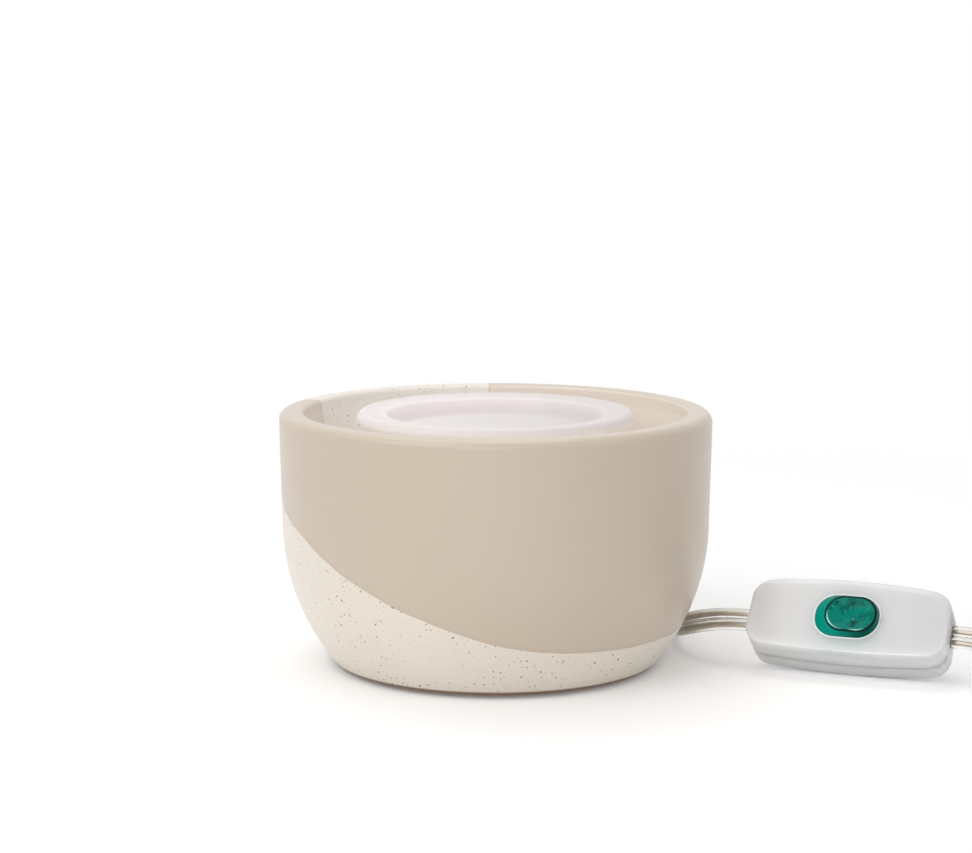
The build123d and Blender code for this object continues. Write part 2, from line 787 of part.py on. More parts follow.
def make_button():
    """The button: a flange that holds it in, a collar and a ramped top."""
    base = RectangleRounded(opening_length - 2 * button_gap, opening_width - 2 * button_gap,
                            opening_corner - button_gap)
    low = switch_inner_half - button_flange
    flange = RectangleRounded(opening_length + 2 * button_flange_margin,
                              opening_width + 2 * button_flange_margin,
                              opening_corner + button_flange_margin)
    body = Pos(0, 0, low) * extrude(flange, button_flange)
    body += Pos(0, 0, switch_inner_half) * extrude(base, face_top - switch_inner_half)
    top = RectangleRounded(button_top_length, button_top_width, button_top_corner)
    body += Pos(0, 0, face_top) * loft([base, Pos(button_top_shift, 0, button_rise) * top])
    hollow_radius = (button_top_width / 2) ** 2 / (2 * button_dish) + button_dish / 2
    hollow = Pos(button_top_shift, 0, face_top + button_rise - button_dish + hollow_radius)
    return body - hollow * Sphere(hollow_radius)


def make_plunger():
    """The push switch's plunger, which the button stands on."""
    return rod(plunger_radius, push_top - plunger_engagement, switch_inner_half - button_flange)


def make_push_switch():
    body = Pos(0, 0, board_top) * Box(push_body_side, push_body_side, push_body_height,
                                      align=(Align.CENTER, Align.CENTER, Align.MIN))
    body = fillet(body.edges().filter_by(Axis.Z), push_body_side / 12)
    depth = plunger_engagement + button_travel + slip
    return body - rod(plunger_radius + wire_fit, push_top - depth, push_top + overrun)


def make_board():
    board = extrude(Rectangle(board_length, board_width), board_thickness)
    board = fillet(board.edges().filter_by(Axis.Z), board_thickness)
    return Pos(0, 0, board_height) * board


def on_board(size, place):
    """A boxed part that stands on the board, its upright edges slightly round."""
    body = Box(*size, align=(Align.CENTER, Align.CENTER, Align.MIN))
    body = fillet(body.edges().filter_by(Axis.Z), min(size[:2]) * board_part_edge_share)
    return Pos(*place, board_top) * body


def make_led():
    body = rod(led_radius + led_collar / 2, 0, led_collar)
    body += rod(led_radius, led_collar, led_height - led_radius)
    body += Pos(0, 0, led_height - led_radius) * Sphere(led_radius)
    return Pos(*led_place, board_top) * body


def make_resistor():
    body = rod(resistor_radius, -resistor_length / 2, resistor_length / 2)
    body = fillet(body.edges(), resistor_radius / 3)
    return Pos(*resistor_place, board_top + resistor_radius) * Rot(0, 90, 0) * body


def make_switch_cores(side):
    """The flat lead inside one end of the housing, up to the board's edge."""
    length = switch_length / 2 - board_length / 2 - overrun
    bar = stadium(cord_width, cord_thickness, length)
    return Pos(side * switch_length / 2, 0, 0) * Rot(0, -90 * side, 0) * bar


def make_switch_tails(side):
    """Two bared cores that drop from the flat lead to the board's pads."""
    start = side * (board_length / 2 + overrun)
    inward = side * board_thickness
    tails = []
    for s in (-1, 1):
        y = s * cord_width / 4
        points = [(start, y, 0), (start - inward, y, 0),
                  (start - 3 * inward, y, board_top + core_radius / 2),
                  (start - 4 * inward, y, board_top + core_radius / 2)]
        path = Polyline(*points)
        plane = Plane(origin=points[0], z_dir=(-side, 0, 0))
        tails.append(sweep(plane * Circle(core_radius / 2), path=path, transition=Transition.RIGHT))
    return tails


def coil_station(quarter):
    """A point on the coil's centre line and its direction there."""
    pitch = cord_width + coil_gap
    rate = pitch / (2 * pi)
    quarter_turn = pi / 2
    inner = coil_start_radius - pitch * coil_inward_count / 4
    turn_angle = coil_climb_count * quarter_turn
    into = quarter * quarter_turn
    past = into - coil_inward_count * quarter_turn
    angle = radians(coil_start_angle) + into
    rise = 0.0
    height = cord_rest
    if past <= 0:
        radius, slope = coil_start_radius - rate * into, -rate
    elif past < turn_angle:
        share = past / turn_angle
        radius = inner - rate * past * (1 - share)
        slope = -rate * (1 - 2 * share)
        height += pitch * share
        rise = pitch / turn_angle
    else:
        radius, slope = inner + rate * (past - turn_angle), rate
        height += pitch
    point = Vector(coil_centre_x + radius * cos(angle), coil_centre_y + radius * sin(angle), height)
    heading = Vector(slope * cos(angle) - radius * sin(angle),
                     slope * sin(angle) + radius * cos(angle), rise)
    return point, heading.normalized()


def biarc(start, leave, end, arrive):
    """Two arcs that join two points and have the given directions at them."""
    gap = end - start
    both = leave + arrive
    a = 2 * (1 - leave.dot(arrive))
    b = 2 * gap.dot(both)
    c = -gap.dot(gap)
    reach = -2 * c / (b + sqrt(b * b - 4 * a * c))
    knee_a = start + leave * reach
    knee_b = end - arrive * reach
    middle = (knee_a + knee_b) * 0.5
    return [TangentArc(start, middle, tangent=leave),
            TangentArc(middle, end, tangent=(knee_b - knee_a).normalized())]


def make_coil():
    """The wound lead: in on the lower layer, up a layer, and out on the upper."""
    count = coil_inward_count + coil_climb_count + coil_outward_count
    stations = [coil_station(q) for q in range(count + 1)]
    first, leave = stations[0]
    last, arrive = stations[-1]
    edges = [Line(first - leave * cord_width, first)]
    for (a, ta), (b, tb) in zip(stations, stations[1:]):
        edges += biarc(a, ta, b, tb)
    edges.append(Line(last, last + arrive * cord_width))
    path = Wire(edges)
    start = Plane(origin=first - leave * cord_width, z_dir=leave)
    tube = sweep(start * Circle(cord_radius), path=path)
    share = tube.volume / (pi * cord_radius ** 2 * path.length)
    print("coil length", round(path.length, 1), "volume share", round(share, 4),
          "least gap", round(coil_gap_measured(edges), 2))
    return tube


def coil_gap_measured(edges):
    """The least gap between the coil's own turns, measured on points."""
    step = cord_width / 4
    points = []
    for edge in edges:
        steps = max(2, ceil(edge.length / step))
        points += [edge @ (i / steps) for i in range(steps)]
    skip = int(cord_width * 4 / step)
    least = min((points[i] - points[j]).length
                for i in range(len(points)) for j in range(i + skip, len(points)))
    return least - cord_width


def coil_end(which):
    """Where the coil's straight end meets a lead, and its direction there."""
    count = coil_inward_count + coil_climb_count + coil_outward_count
    point, heading = coil_station(0 if which == "start" else count)
    return point + heading * (-cord_width if which == "start" else cord_width), heading


plug_direction = Vector(cos(radians(plug_turn)), sin(radians(plug_turn)), 0)
plug_axis_height = plug_thickness / 2
plug_frame = Plane(origin=(*plug_place, plug_axis_height), x_dir=(0, 0, 1), z_dir=plug_direction)


def make_plug_body():
    """The moulded plug: round relief, flared grip and a flat face."""
    shoulder = plug_relief_length + plug_length * plug_shoulder_share
    front = plug_relief_length + plug_length
    rear = RectangleRounded(plug_rear_thickness, plug_rear_width, plug_corner)
    full = RectangleRounded(plug_thickness, plug_width, plug_corner)
    body = loft([Pos(0, 0, plug_relief_length) * rear, Pos(0, 0, shoulder) * full])
    body += Pos(0, 0, shoulder) * extrude(full, front - shoulder)
    cone = Cone(relief_tip_radius, plug_rear_thickness / 2 - slip, plug_relief_length,
                align=(Align.CENTER, Align.CENTER, Align.MIN))
    body += cone
    step = plug_relief_length / (relief_groove_count + 1)
    for i in range(relief_groove_count):
        place = step * (i + 1)
        share = place / plug_relief_length
        skin = relief_tip_radius + (plug_rear_thickness / 2 - relief_tip_radius) * share
        floor_radius = skin - (relief_tip_radius - cord_radius) * relief_groove_depth_share
        body -= ring(plug_rear_thickness, floor_radius, place, place + relief_groove_width)
    for s in (-1, 1):
        grip = Cylinder(plug_waist_radius, 2 * plug_thickness, rotation=(0, 90, 0))
        y = s * (plug_width / 2 + plug_waist_radius - plug_waist)
        body -= Pos(0, y, (shoulder + front) / 2) * grip
    low = front - blade_root
    for s, width in ((-1, blade_width), (1, wide_blade_width)):
        slot = Box(width, blade_thickness, blade_root, align=(Align.CENTER, Align.CENTER, Align.MIN))
        body -= Pos(0, s * blade_spacing / 2, low) * slot
    return body


def make_blades():
    """The two flat blades, one of them wider, each with its hole."""
    low = plug_relief_length + plug_length - blade_root
    blades = []
    for s, width in ((-1, blade_width), (1, wide_blade_width)):
        blade = Box(width, blade_thickness, blade_root + blade_length,
                    align=(Align.CENTER, Align.CENTER, Align.MIN))
        blade = chamfer(blade.edges().group_by(Axis.Z)[-1].filter_by(Axis.Y), blade_tip)
        hole = Cylinder(blade_hole_radius, 2 * blade_width, rotation=(90, 0, 0))
        blade -= Pos(0, 0, blade_root + blade_length * blade_hole_share) * hole
        blades.append(Pos(0, s * blade_spacing / 2, low) * blade)
    return blades


def height_inside(share):
    """A height in the bowl, as a share of the rise from the inlet to the fuse."""
    return inlet_height + share * (fuse_height - inlet_height)


def inside(shares):
    """Points in the bowl, from shares of the ledge's radius and of the rise."""
    return [(x * ledge_radius, y * ledge_radius, height_inside(z)) for x, y, z in shares]


def wire(points, radius):
    """A thin wire inside the bowl, its bends as large as its runs allow."""
    radii = [corner_radius(*points[i - 1:i + 2]) for i in range(1, len(points) - 1)]
    path = FilletPolyline(*points, radius=radii)
    start = Plane(origin=path @ 0, z_dir=path % 0)
    return sweep(start * Circle(radius), path=path)


# The bowl and what it holds
parts["ceramic_bowl"] = make_bowl()
parts["silicone_dish"] = make_dish()
parts["heating_plate"] = make_plate()
parts["plate_gasket"] = make_gasket()
mica_low = pocket_top - mica_thickness
ribbon_low = mica_low - ribbon_thickness
felt_top = ribbon_low - mica_thickness
element_radius = pocket_radius - slip
parts["mica_upper_sheet"] = ring(element_radius, 0, mica_low, pocket_top)
parts["heater_ribbon"] = make_ribbon(ribbon_low)
lower_sheet = ring(element_radius, 0, felt_top, ribbon_low)
parts["mica_lower_sheet"] = pierced(lower_sheet, felt_top, ribbon_low)
felt = ring(element_radius, 0, boss_under, felt_top)
parts["insulation_felt"] = pierced(felt, boss_under, felt_top)
parts["support_bracket"] = make_bracket()
clamp_screw = screw(m3_radius, clamp_screw_length, m3_head_radius, m3_head_height)
clamp_screw = Pos(0, 0, bracket_under) * clamp_screw
parts["clamp_screws"] = around(clamp_screw, screw_angles, clamp_screw_circle)
pad = extrude(Rectangle(pad_length, bracket_arm_width), deck_under - boss_under)
pad_place = (deck_hole_radius + bracket_reach) / 2
parts["bracket_pads"] = around(Pos(0, 0, boss_under) * pad, arm_angles, pad_place)
parts["support_posts"] = make_posts()
parts["heater_terminals"] = make_terminals()
parts["terminal_beads"] = make_beads()
parts["thermal_fuse"] = make_fuse()
parts["fuse_clip"] = make_fuse_clip()
parts["base_cover"] = make_cover()
cover_screw = screw(m3_radius, cover_screw_length, m3_head_radius, m3_head_height - slip)
cover_screw = Pos(0, 0, cover_under + head_recess) * cover_screw
parts["cover_screws"] = around(cover_screw, arm_angles, post_circle)
parts["rubber_feet"] = make_feet()
parts["cord_bushing"] = make_bushing()
parts["inner_lead"] = make_inner_lead()
parts["cord_clamp_bar"] = make_clamp_bar()
parts["cord_clamp_screws"] = make_clamp_screws()

# Wires inside the bowl, from the parted lead to the fuse and the element
fuse_end = fuse_length / 2 + fuse_lead_length
terminal_x = terminal_spacing / 2
parting = lead_inner_end - 2 * core_radius
neutral_height = inlet_height - cord_width / 4
line_height = inlet_height + cord_width / 4
terminal_crimp = terminal_low - sleeve_length
sleeve_ends = [((-fuse_end, fuse_row, fuse_height), (-1, 0, 0)),
               ((fuse_end, fuse_row, fuse_height), (1, 0, 0)),
               ((-terminal_x, terminal_offset, terminal_low), (0, 0, -1)),
               ((terminal_x, terminal_offset, terminal_low), (0, 0, -1))]
parts["crimp_sleeves"] = [make_sleeve(*end) for end in sleeve_ends]
fuse_crimp = fuse_end + sleeve_length
neutral_points = [(0, lead_inner_end, neutral_height), (0, parting, neutral_height),
                  *inside(neutral_wire_shares),
                  (-terminal_x, terminal_offset, height_inside(neutral_knee_share)),
                  (-terminal_x, terminal_offset, terminal_crimp)]
line_points = [(0, lead_inner_end, line_height), (0, parting, line_height),
               *inside(line_wire_shares),
               (-fuse_crimp - line_wire_run, fuse_row, fuse_height),
               (-fuse_crimp, fuse_row, fuse_height)]
link_points = [(fuse_crimp, fuse_row, fuse_height),
               (fuse_crimp + link_wire_run, fuse_row, fuse_height),
               *inside(link_wire_shares),
               (terminal_x, terminal_offset, height_inside(link_knee_share)),
               (terminal_x, terminal_offset, terminal_crimp)]
parts["neutral_wire"] = wire(neutral_points, core_radius)
parts["line_wire"] = wire(line_points, core_radius)
parts["link_wire"] = wire(link_points, core_radius)

# The in-line switch
seat = Plane(origin=(0, 0, 0), x_dir=axis_along, z_dir=axis_face)
face_shell = make_face_shell()
rear_shell = make_rear_shell()
lowest = min((seat * face_shell).bounding_box().min.Z, (seat * rear_shell).bounding_box().min.Z)
switch_centre = Vector(switch_place_x, switch_place_y, -lowest)
switch_seat = Plane(origin=switch_centre, x_dir=axis_along, z_dir=axis_face)
switch_parts = {
    "switch_face_shell": face_shell,
    "switch_rear_shell": rear_shell,
    "shell_screws": make_shell_screws(),
    "button": make_button(),
    "switch_plunger": make_plunger(),
    "push_switch": make_push_switch(),
    "switch_board": make_board(),
    "indicator_led": make_led(),
    "timer_chip": on_board(chip_size, chip_place),
    "triac": on_board(triac_size, triac_place),
    "film_capacitor": on_board(capacitor_size, capacitor_place),
    "dropper_resistor": make_resistor(),
    "switch_lead_ends": [make_switch_cores(s) for s in (-1, 1)],
    "switch_core_tails": make_switch_tails(-1) + make_switch_tails(1),
}
for name, shape in switch_parts.items():
    if isinstance(shape, list):
        parts[name] = [switch_seat * one for one in shape]
    else:
        parts[name] = switch_seat * shape

# The leads, the coil and the plug
left_end = switch_centre - axis_along * (switch_length / 2)
right_end = switch_centre + axis_along * (switch_length / 2)
exit_point = (0, relief_tip, inlet_height)
exit_run = (0, relief_tip + 2 * cord_width, inlet_height)
left_run = left_end - axis_along * lead_straight
right_run = right_end + axis_along * lead_straight
coil_in, coil_in_heading = coil_end("start")
coil_out, coil_out_heading = coil_end("end")
coil_in_run = coil_in - coil_in_heading * (2 * cord_width)
coil_out_run = coil_out + coil_out_heading * (2 * cord_width)
plug_tail = Vector(*plug_place, plug_axis_height)
plug_run = plug_tail - plug_direction * (2 * cord_width)
to_switch = [exit_point, exit_run, *lead_to_switch_route, tuple(left_run), tuple(left_end)]
to_coil = [tuple(right_end), tuple(right_run), *lead_to_coil_route, tuple(coil_in_run), tuple(coil_in)]
to_plug = [tuple(coil_out), tuple(coil_out_run), *lead_to_plug_route, tuple(plug_run), tuple(plug_tail)]
parts["lead_to_switch"] = lead(to_switch, cord_radius, "lead to switch")
parts["lead_to_coil"] = lead(to_coil, cord_radius, "lead to coil")
parts["lead_coil"] = make_coil()
parts["lead_to_plug"] = lead(to_plug, cord_radius, "lead to plug")
parts["plug_body"] = plug_frame * make_plug_body()
parts["plug_blades"] = [plug_frame * blade for blade in make_blades()]

print("switch centre", switch_centre, "face", axis_face, "along", axis_along)
print("coil in", coil_in, "coil out", coil_out)

os.makedirs("parts", exist_ok=True)
for name, shape in parts.items():
    solids = shape if isinstance(shape, list) else [shape]
    whole = Compound(children=[s for one in solids for s in one.solids()])
    export_step(whole if len(whole.solids()) > 1 else whole.solids()[0], f"parts/{name}.step")
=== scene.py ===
from math import atan2, cos, degrees, hypot, pi, radians, sin, sqrt, tan

import bmesh
import bpy
import numpy as np
from mathutils import Matrix, Vector


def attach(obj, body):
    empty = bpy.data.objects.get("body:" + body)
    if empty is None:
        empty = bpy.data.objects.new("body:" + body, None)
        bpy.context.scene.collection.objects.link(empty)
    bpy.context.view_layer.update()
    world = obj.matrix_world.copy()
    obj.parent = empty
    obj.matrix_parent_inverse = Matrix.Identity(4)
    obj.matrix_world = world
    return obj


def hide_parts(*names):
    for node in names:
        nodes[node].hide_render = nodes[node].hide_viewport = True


# Wax melt warmer: a two-glaze ceramic bowl with a silicone dish on a heating plate,
# and a clear flat lead with an in-line push-button switch.
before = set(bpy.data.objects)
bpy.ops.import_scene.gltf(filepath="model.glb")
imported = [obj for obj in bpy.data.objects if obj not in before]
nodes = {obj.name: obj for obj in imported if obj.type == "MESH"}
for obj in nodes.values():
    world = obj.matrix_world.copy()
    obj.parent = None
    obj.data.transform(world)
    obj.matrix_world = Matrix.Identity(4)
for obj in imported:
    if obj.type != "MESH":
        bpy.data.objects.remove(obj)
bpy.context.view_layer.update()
scene = bpy.context.scene
scene.view_settings.view_transform = "Standard"

# Camera. A long lens looks a little down on the bowl from its front, so that the rim
# shows as a thin ellipse.
camera_distance = 0.700
camera_height = 0.17077
camera_aside = -0.00284
camera_down = radians(8.235)
camera_focal_pixels = 2418.5
frame_pixels_wide = 972
lens_data = bpy.data.cameras.new("camera")
lens_data.sensor_fit = "HORIZONTAL"
lens_data.lens = camera_focal_pixels * lens_data.sensor_width / frame_pixels_wide
lens_data.clip_end = 20
camera = bpy.data.objects.new("camera", lens_data)
camera.location = (camera_aside, -camera_distance, camera_height)
camera.rotation_euler = (pi / 2 - camera_down, 0, 0)
scene.collection.objects.link(camera)
scene.camera = camera

# Studio. A white table under a white sky, a broad soft lamp from the left and in front,
# and weaker ones at the right, above and low in front. Past the part, all is white.
floor_size = 4.0
floor_grey = 0.94
seen_floor_grey = 0.95
seen_floor_glow = 0.15
shadows_end = 0.24
all_white_from = 0.50
sky_strength = 0.64
# each lamp's place, watts and width
lamps = {
    "key": ((-0.75, -0.75, 0.95), 5.3, 0.9),
    "fill": ((0.9, -0.5, 0.7), 0.5, 0.8),
    "top": ((-0.1, 0.25, 1.1), 4.0, 0.9),
    "front": ((-0.12, -1.05, 0.30), 1.3, 0.5),
}


def feed(tree, node, inputs):
    """Sets a node's inputs, each to a plain value or by a link from an output."""
    for key, value in inputs.items():
        socket = node.inputs[key]
        if isinstance(value, bpy.types.NodeSocket):
            tree.links.new(value, socket)
        elif socket.type == "RGBA":
            socket.default_value = (*value, 1)
        else:
            socket.default_value = value


def add_node(tree, kind, inputs=None, **settings):
    """A node with its settings and its inputs."""
    node = tree.nodes.new(kind)
    for key, value in settings.items():
        setattr(node, key, value)
    feed(tree, node, inputs or {})
    return node


def maths(tree, operation, *values):
    """The result of a calculation with numbers."""
    node = add_node(tree, "ShaderNodeMath", dict(enumerate(values)), operation=operation)
    return node.outputs[0]


def vector_maths(tree, operation, result, *values):
    """The result of a calculation with vectors."""
    node = add_node(tree, "ShaderNodeVectorMath", dict(enumerate(values)), operation=operation)
    return node.outputs[result]


def smooth_step(tree, value, low, high, full=1.0):
    """A number that goes smoothly from nothing at the value low to its full size at high."""
    node = add_node(tree, "ShaderNodeMapRange", {"Value": value, "From Min": low, "From Max": high,
                                                 "To Max": full}, interpolation_type="SMOOTHSTEP")
    return node.outputs[0]


def object_place(tree):
    """Where a point lies in its object's frame."""
    node = tree.nodes.get("Texture Coordinate") or tree.nodes.new("ShaderNodeTexCoord")
    return node.outputs["Object"]


def mix_shaders(tree, share, one, two):
    """One shader that gives way to another by a share."""
    return add_node(tree, "ShaderNodeMixShader", {0: share, 1: one.outputs[0], 2: two.outputs[0]})


def show(tree, shader, kind="ShaderNodeOutputMaterial"):
    """Joins a shader to the tree's output."""
    add_node(tree, kind, {"Surface": shader.outputs[0]})


def new_material(name):
    """A material and its empty node tree."""
    material = bpy.data.materials.new(name)
    material.use_nodes = True
    material.node_tree.nodes.clear()
    return material, material.node_tree


def white_to_the_eye(tree):
    """One where the camera, a reflection or a refraction looks, and nothing elsewhere."""
    path = add_node(tree, "ShaderNodeLightPath").outputs
    either = maths(tree, "MAXIMUM", path["Is Camera Ray"], path["Is Glossy Ray"])
    return maths(tree, "MAXIMUM", either, path["Is Transmission Ray"])


def floor_material():
    """White, with shadows near the part that fade out away from it."""
    material, tree = new_material("white table")
    lights_the_part = add_node(tree, "ShaderNodeBsdfDiffuse", {"Color": [floor_grey] * 3})
    takes_shadows = add_node(tree, "ShaderNodeBsdfDiffuse", {"Color": [seen_floor_grey] * 3})
    glow = add_node(tree, "ShaderNodeEmission", {"Strength": seen_floor_glow})
    near_floor = add_node(tree, "ShaderNodeAddShader", {0: takes_shadows.outputs[0],
                                                        1: glow.outputs[0]})
    far_floor = add_node(tree, "ShaderNodeEmission")
    reach = vector_maths(tree, "LENGTH", "Value", object_place(tree))
    fade = smooth_step(tree, reach, shadows_end, all_white_from)
    seen_floor = mix_shaders(tree, fade, near_floor, far_floor)
    show(tree, mix_shaders(tree, white_to_the_eye(tree), lights_the_part, seen_floor))
    return material


floor_mesh = bpy.data.meshes.new("table_top")
half_floor = floor_size / 2
floor_mesh.from_pydata([(-half_floor, -half_floor, 0), (half_floor, -half_floor, 0),
                        (half_floor, half_floor, 0), (-half_floor, half_floor, 0)],
                       [], [(0, 1, 2, 3)])
floor_mesh.materials.append(floor_material())
floor = bpy.data.objects.new("table_top", floor_mesh)
scene.collection.objects.link(floor)

sky = bpy.data.worlds.new("white sky")
scene.world = sky
sky.use_nodes = True
sky_tree = sky.node_tree
sky_tree.nodes.clear()
light_sky = add_node(sky_tree, "ShaderNodeBackground", {"Strength": sky_strength})
seen_sky = add_node(sky_tree, "ShaderNodeBackground", {"Color": (1, 1, 1)})
show(sky_tree, mix_shaders(sky_tree, white_to_the_eye(sky_tree), light_sky, seen_sky),
     "ShaderNodeOutputWorld")

for name, (place, watts, width) in lamps.items():
    lamp_data = bpy.data.lights.new(name + " lamp", "AREA")
    lamp_data.energy = watts
    lamp_data.size = width
    lamp = bpy.data.objects.new(name + " lamp", lamp_data)
    lamp.location = place
    lamp.rotation_euler = (-Vector(place)).to_track_quat("-Z", "Y").to_euler()
    scene.collection.objects.link(lamp)

# Flat twin lead. Two stranded cores side by side in one clear soft sleeve, which
# bends about its thin way, so it stands on edge. It is worked out along its route.
lead_width = 0.0068
lead_thickness = 0.0034
lead_web = 0.0011
lead_core = 0.00105
strand_count = 7
strand_lay = 0.015
strand_relief = 0.13
strand_swing = 1.6
strand_level = 0.4
lobe_steps = 11
route_resolution = 6
lead_step = 0.0022
lead_turning = 0.030


def route_points(name, points):
    """The points along a smooth line that the listed points steer."""
    curve = bpy.data.curves.new(name, "CURVE")
    curve.dimensions = "3D"
    spline = curve.splines.new("NURBS")
    spline.points.add(len(points) - 1)
    for knot, place in zip(spline.points, points):
        knot.co = (*place, 1)
    spline.order_u = 3
    spline.use_endpoint_u = True
    curve.resolution_u = route_resolution
    carrier = bpy.data.objects.new(name, curve)
    line = bpy.data.meshes.new_from_object(carrier)
    places = np.array([vertex.co for vertex in line.vertices])
    bpy.data.meshes.remove(line)
    bpy.data.objects.remove(carrier)
    return places


def evenly(places):
    """The same line with its points a step apart, and how far along each lies."""
    runs = np.linalg.norm(np.diff(places, axis=0), axis=1)
    along = np.concatenate([[0], np.cumsum(runs)])
    count = max(2, int(round(along[-1] / lead_step)) + 1)
    marks = np.linspace(0, along[-1], count)
    return np.stack([np.interp(marks, along, places[:, i]) for i in range(3)], axis=1), marks


def edge_frames(places, marks, first_way, last_way):
    """The lead's wide way and thin way at each point. Between its ends it stands on edge."""
    heading = np.gradient(places, axis=0)
    heading /= np.linalg.norm(heading, axis=1)[:, None]
    upright = np.array([0.0, 0.0, 1.0])
    from_start = np.clip(marks / lead_turning, 0, 1)
    from_end = np.clip((marks[-1] - marks) / lead_turning, 0, 1)
    from_start = (from_start * from_start * (3 - 2 * from_start))[:, None]
    from_end = (from_end * from_end * (3 - 2 * from_end))[:, None]
    wide = np.array(first_way) * (1 - from_start) + upright * from_start
    wide = np.array(last_way) * (1 - from_end) + wide * from_end
    wide -= heading * (wide * heading).sum(axis=1)[:, None]
    wide /= np.linalg.norm(wide, axis=1)[:, None]
    return wide, np.cross(heading, wide)


def sleeve_outline():
    """The sleeve's section: two round lobes that a thin web joins."""
    lobe = lead_thickness / 2
    centre = lead_width / 2 - lobe
    open_angle = atan2(lead_web / 2, -sqrt(lobe ** 2 - (lead_web / 2) ** 2))
    outline = []
    for side in (1, -1):
        for i in range(lobe_steps):
            angle = -open_angle + 2 * open_angle * i / (lobe_steps - 1)
            outline.append((side * (centre + lobe * cos(angle)), side * lobe * sin(angle)))
    return np.array(outline)


def swept(name, places, wide, thin, sections):
    """A closed bar through the sections, one for each place on the line."""
    rings = [place + section[:, :1] * w + section[:, 1:] * t
             for place, w, t, section in zip(places, wide, thin, sections)]
    return through_rings(name, np.concatenate(rings).tolist(), len(rings), capped=True)


def through_rings(name, places, rings, closed=False, capped=False):
    """A smooth mesh through the points of rings: open, closed in a loop, or with two ends."""
    count = len(places) // rings
    faces = []
    for i in range(rings if closed else rings - 1):
        j = (i + 1) % rings
        for k in range(count):
            m = (k + 1) % count
            faces.append((i * count + k, i * count + m, j * count + m, j * count + k))
    if capped:
        faces.append(tuple(range(count))[::-1])
        faces.append(tuple((rings - 1) * count + k for k in range(count)))
    mesh = bpy.data.meshes.new(name)
    mesh.from_pydata(places, [], faces)
    outward(mesh)
    mesh.shade_smooth()
    return mesh


def outward(mesh):
    """Turns every face of a closed mesh outwards."""
    build = bmesh.new()
    build.from_mesh(mesh)
    bmesh.ops.recalc_face_normals(build, faces=build.faces)
    build.to_mesh(mesh)
    build.free()


def crease(mesh, angle):
    """Keeps the edges crisp where two faces turn by more than an angle."""
    build = bmesh.new()
    build.from_mesh(mesh)
    for edge in build.edges:
        edge.smooth = len(edge.link_faces) != 2 or edge.calc_face_angle(0) < angle
    build.to_mesh(mesh)
    build.free()


def core_sections(marks, side):
    """The stranded core's outline at each mark: its strands wind round it."""
    steps = strand_count * 4
    angles = np.arange(steps) * 2 * pi / steps
    radius = lead_core / 2
    centre = side * (lead_width - lead_thickness) / 2
    sections = []
    for mark in marks:
        wave = np.abs(np.sin((angles - 2 * pi * mark / strand_lay) * strand_count / 2))
        reach = radius * (1 - strand_relief + strand_relief * strand_swing * (wave - strand_level))
        sections.append(np.stack([centre + reach * np.cos(angles), reach * np.sin(angles)], axis=1))
    return sections


def new_piece(name, mesh, body="root"):
    """An object for a finished mesh, which rides on a body."""
    piece = bpy.data.objects.new(name, mesh)
    scene.collection.objects.link(piece)
    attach(piece, body)
    return piece


def surface(name, colour, roughness, **values):
    """A material with one principled shader, its plain values set on the shader."""
    material, tree = new_material(name)
    plain = {key.replace("_", " "): value for key, value in values.items()}
    shader = add_node(tree, "ShaderNodeBsdfPrincipled",
                      {"Base Color": colour, "Roughness": roughness, **plain})
    show(tree, shader)
    return material, shader


def noise(tree, scale, detail=2.0, place=None):
    """Noise over the object, or over another place."""
    where = object_place(tree) if place is None else place
    node = add_node(tree, "ShaderNodeTexNoise", {"Vector": where, "Scale": scale, "Detail": detail})
    return node.outputs["Fac"]


def blend(tree, share, one, two):
    """A colour that gives way to another by a share."""
    node = add_node(tree, "ShaderNodeMix", {"Factor": share, "A": one, "B": two}, data_type="RGBA")
    return node.outputs["Result"]


def new_group(name, kind, inputs, outputs):
    """An empty node group with its named sockets and what each holds."""
    group = bpy.data.node_groups.new(name, kind)
    for way, sockets in (("INPUT", inputs), ("OUTPUT", outputs)):
        for socket, held_kind in sockets.items():
            group.interface.new_socket(socket, in_out=way, socket_type="NodeSocket" + held_kind)
    return group


def patchy_group():
    """Slow and fine unevenness: a colour, a roughness and a height that vary."""
    group = new_group("uneven surface", "ShaderNodeTree",
                      {"Colour": "Color", "Other Colour": "Color", "Patch Scale": "Float",
                       "Grain Scale": "Float", "Roughness": "Float", "Roughness Spread": "Float"},
                      {"Colour": "Color", "Roughness": "Float", "Height": "Float"})
    enter = add_node(group, "NodeGroupInput").outputs
    patches = noise(group, enter["Patch Scale"], 3)
    grain = noise(group, enter["Grain Scale"], 4)
    middle = maths(group, "SUBTRACT", patches, 0.5)
    add_node(group, "NodeGroupOutput", {
        "Colour": blend(group, patches, enter["Colour"], enter["Other Colour"]),
        "Roughness": maths(group, "MULTIPLY_ADD", middle, enter["Roughness Spread"],
                           enter["Roughness"]),
        "Height": grain})
    return group


uneven = patchy_group()


def patchy(name, colour, other, roughness, spread=0.1, patch=60, grain=900,
           depth=0.00002, **values):
    """Two near colours in patches and a fine grain: the material, its shader, its colour."""
    material, shader = surface(name, colour, roughness, **values)
    tree = material.node_tree
    patches = add_node(tree, "ShaderNodeGroup", {
        "Colour": colour, "Other Colour": other, "Patch Scale": patch, "Grain Scale": grain,
        "Roughness": roughness, "Roughness Spread": spread}, node_tree=uneven).outputs
    bump = add_node(tree, "ShaderNodeBump", {"Distance": depth, "Height": patches["Height"]})
    feed(tree, shader, {"Base Color": patches["Colour"], "Roughness": patches["Roughness"],
                        "Normal": bump.outputs[0]})
    return material, shader, patches["Colour"]


def finish(*about, **values):
    """A patchy material that needs nothing more."""
    return patchy(*about, **values)[0]


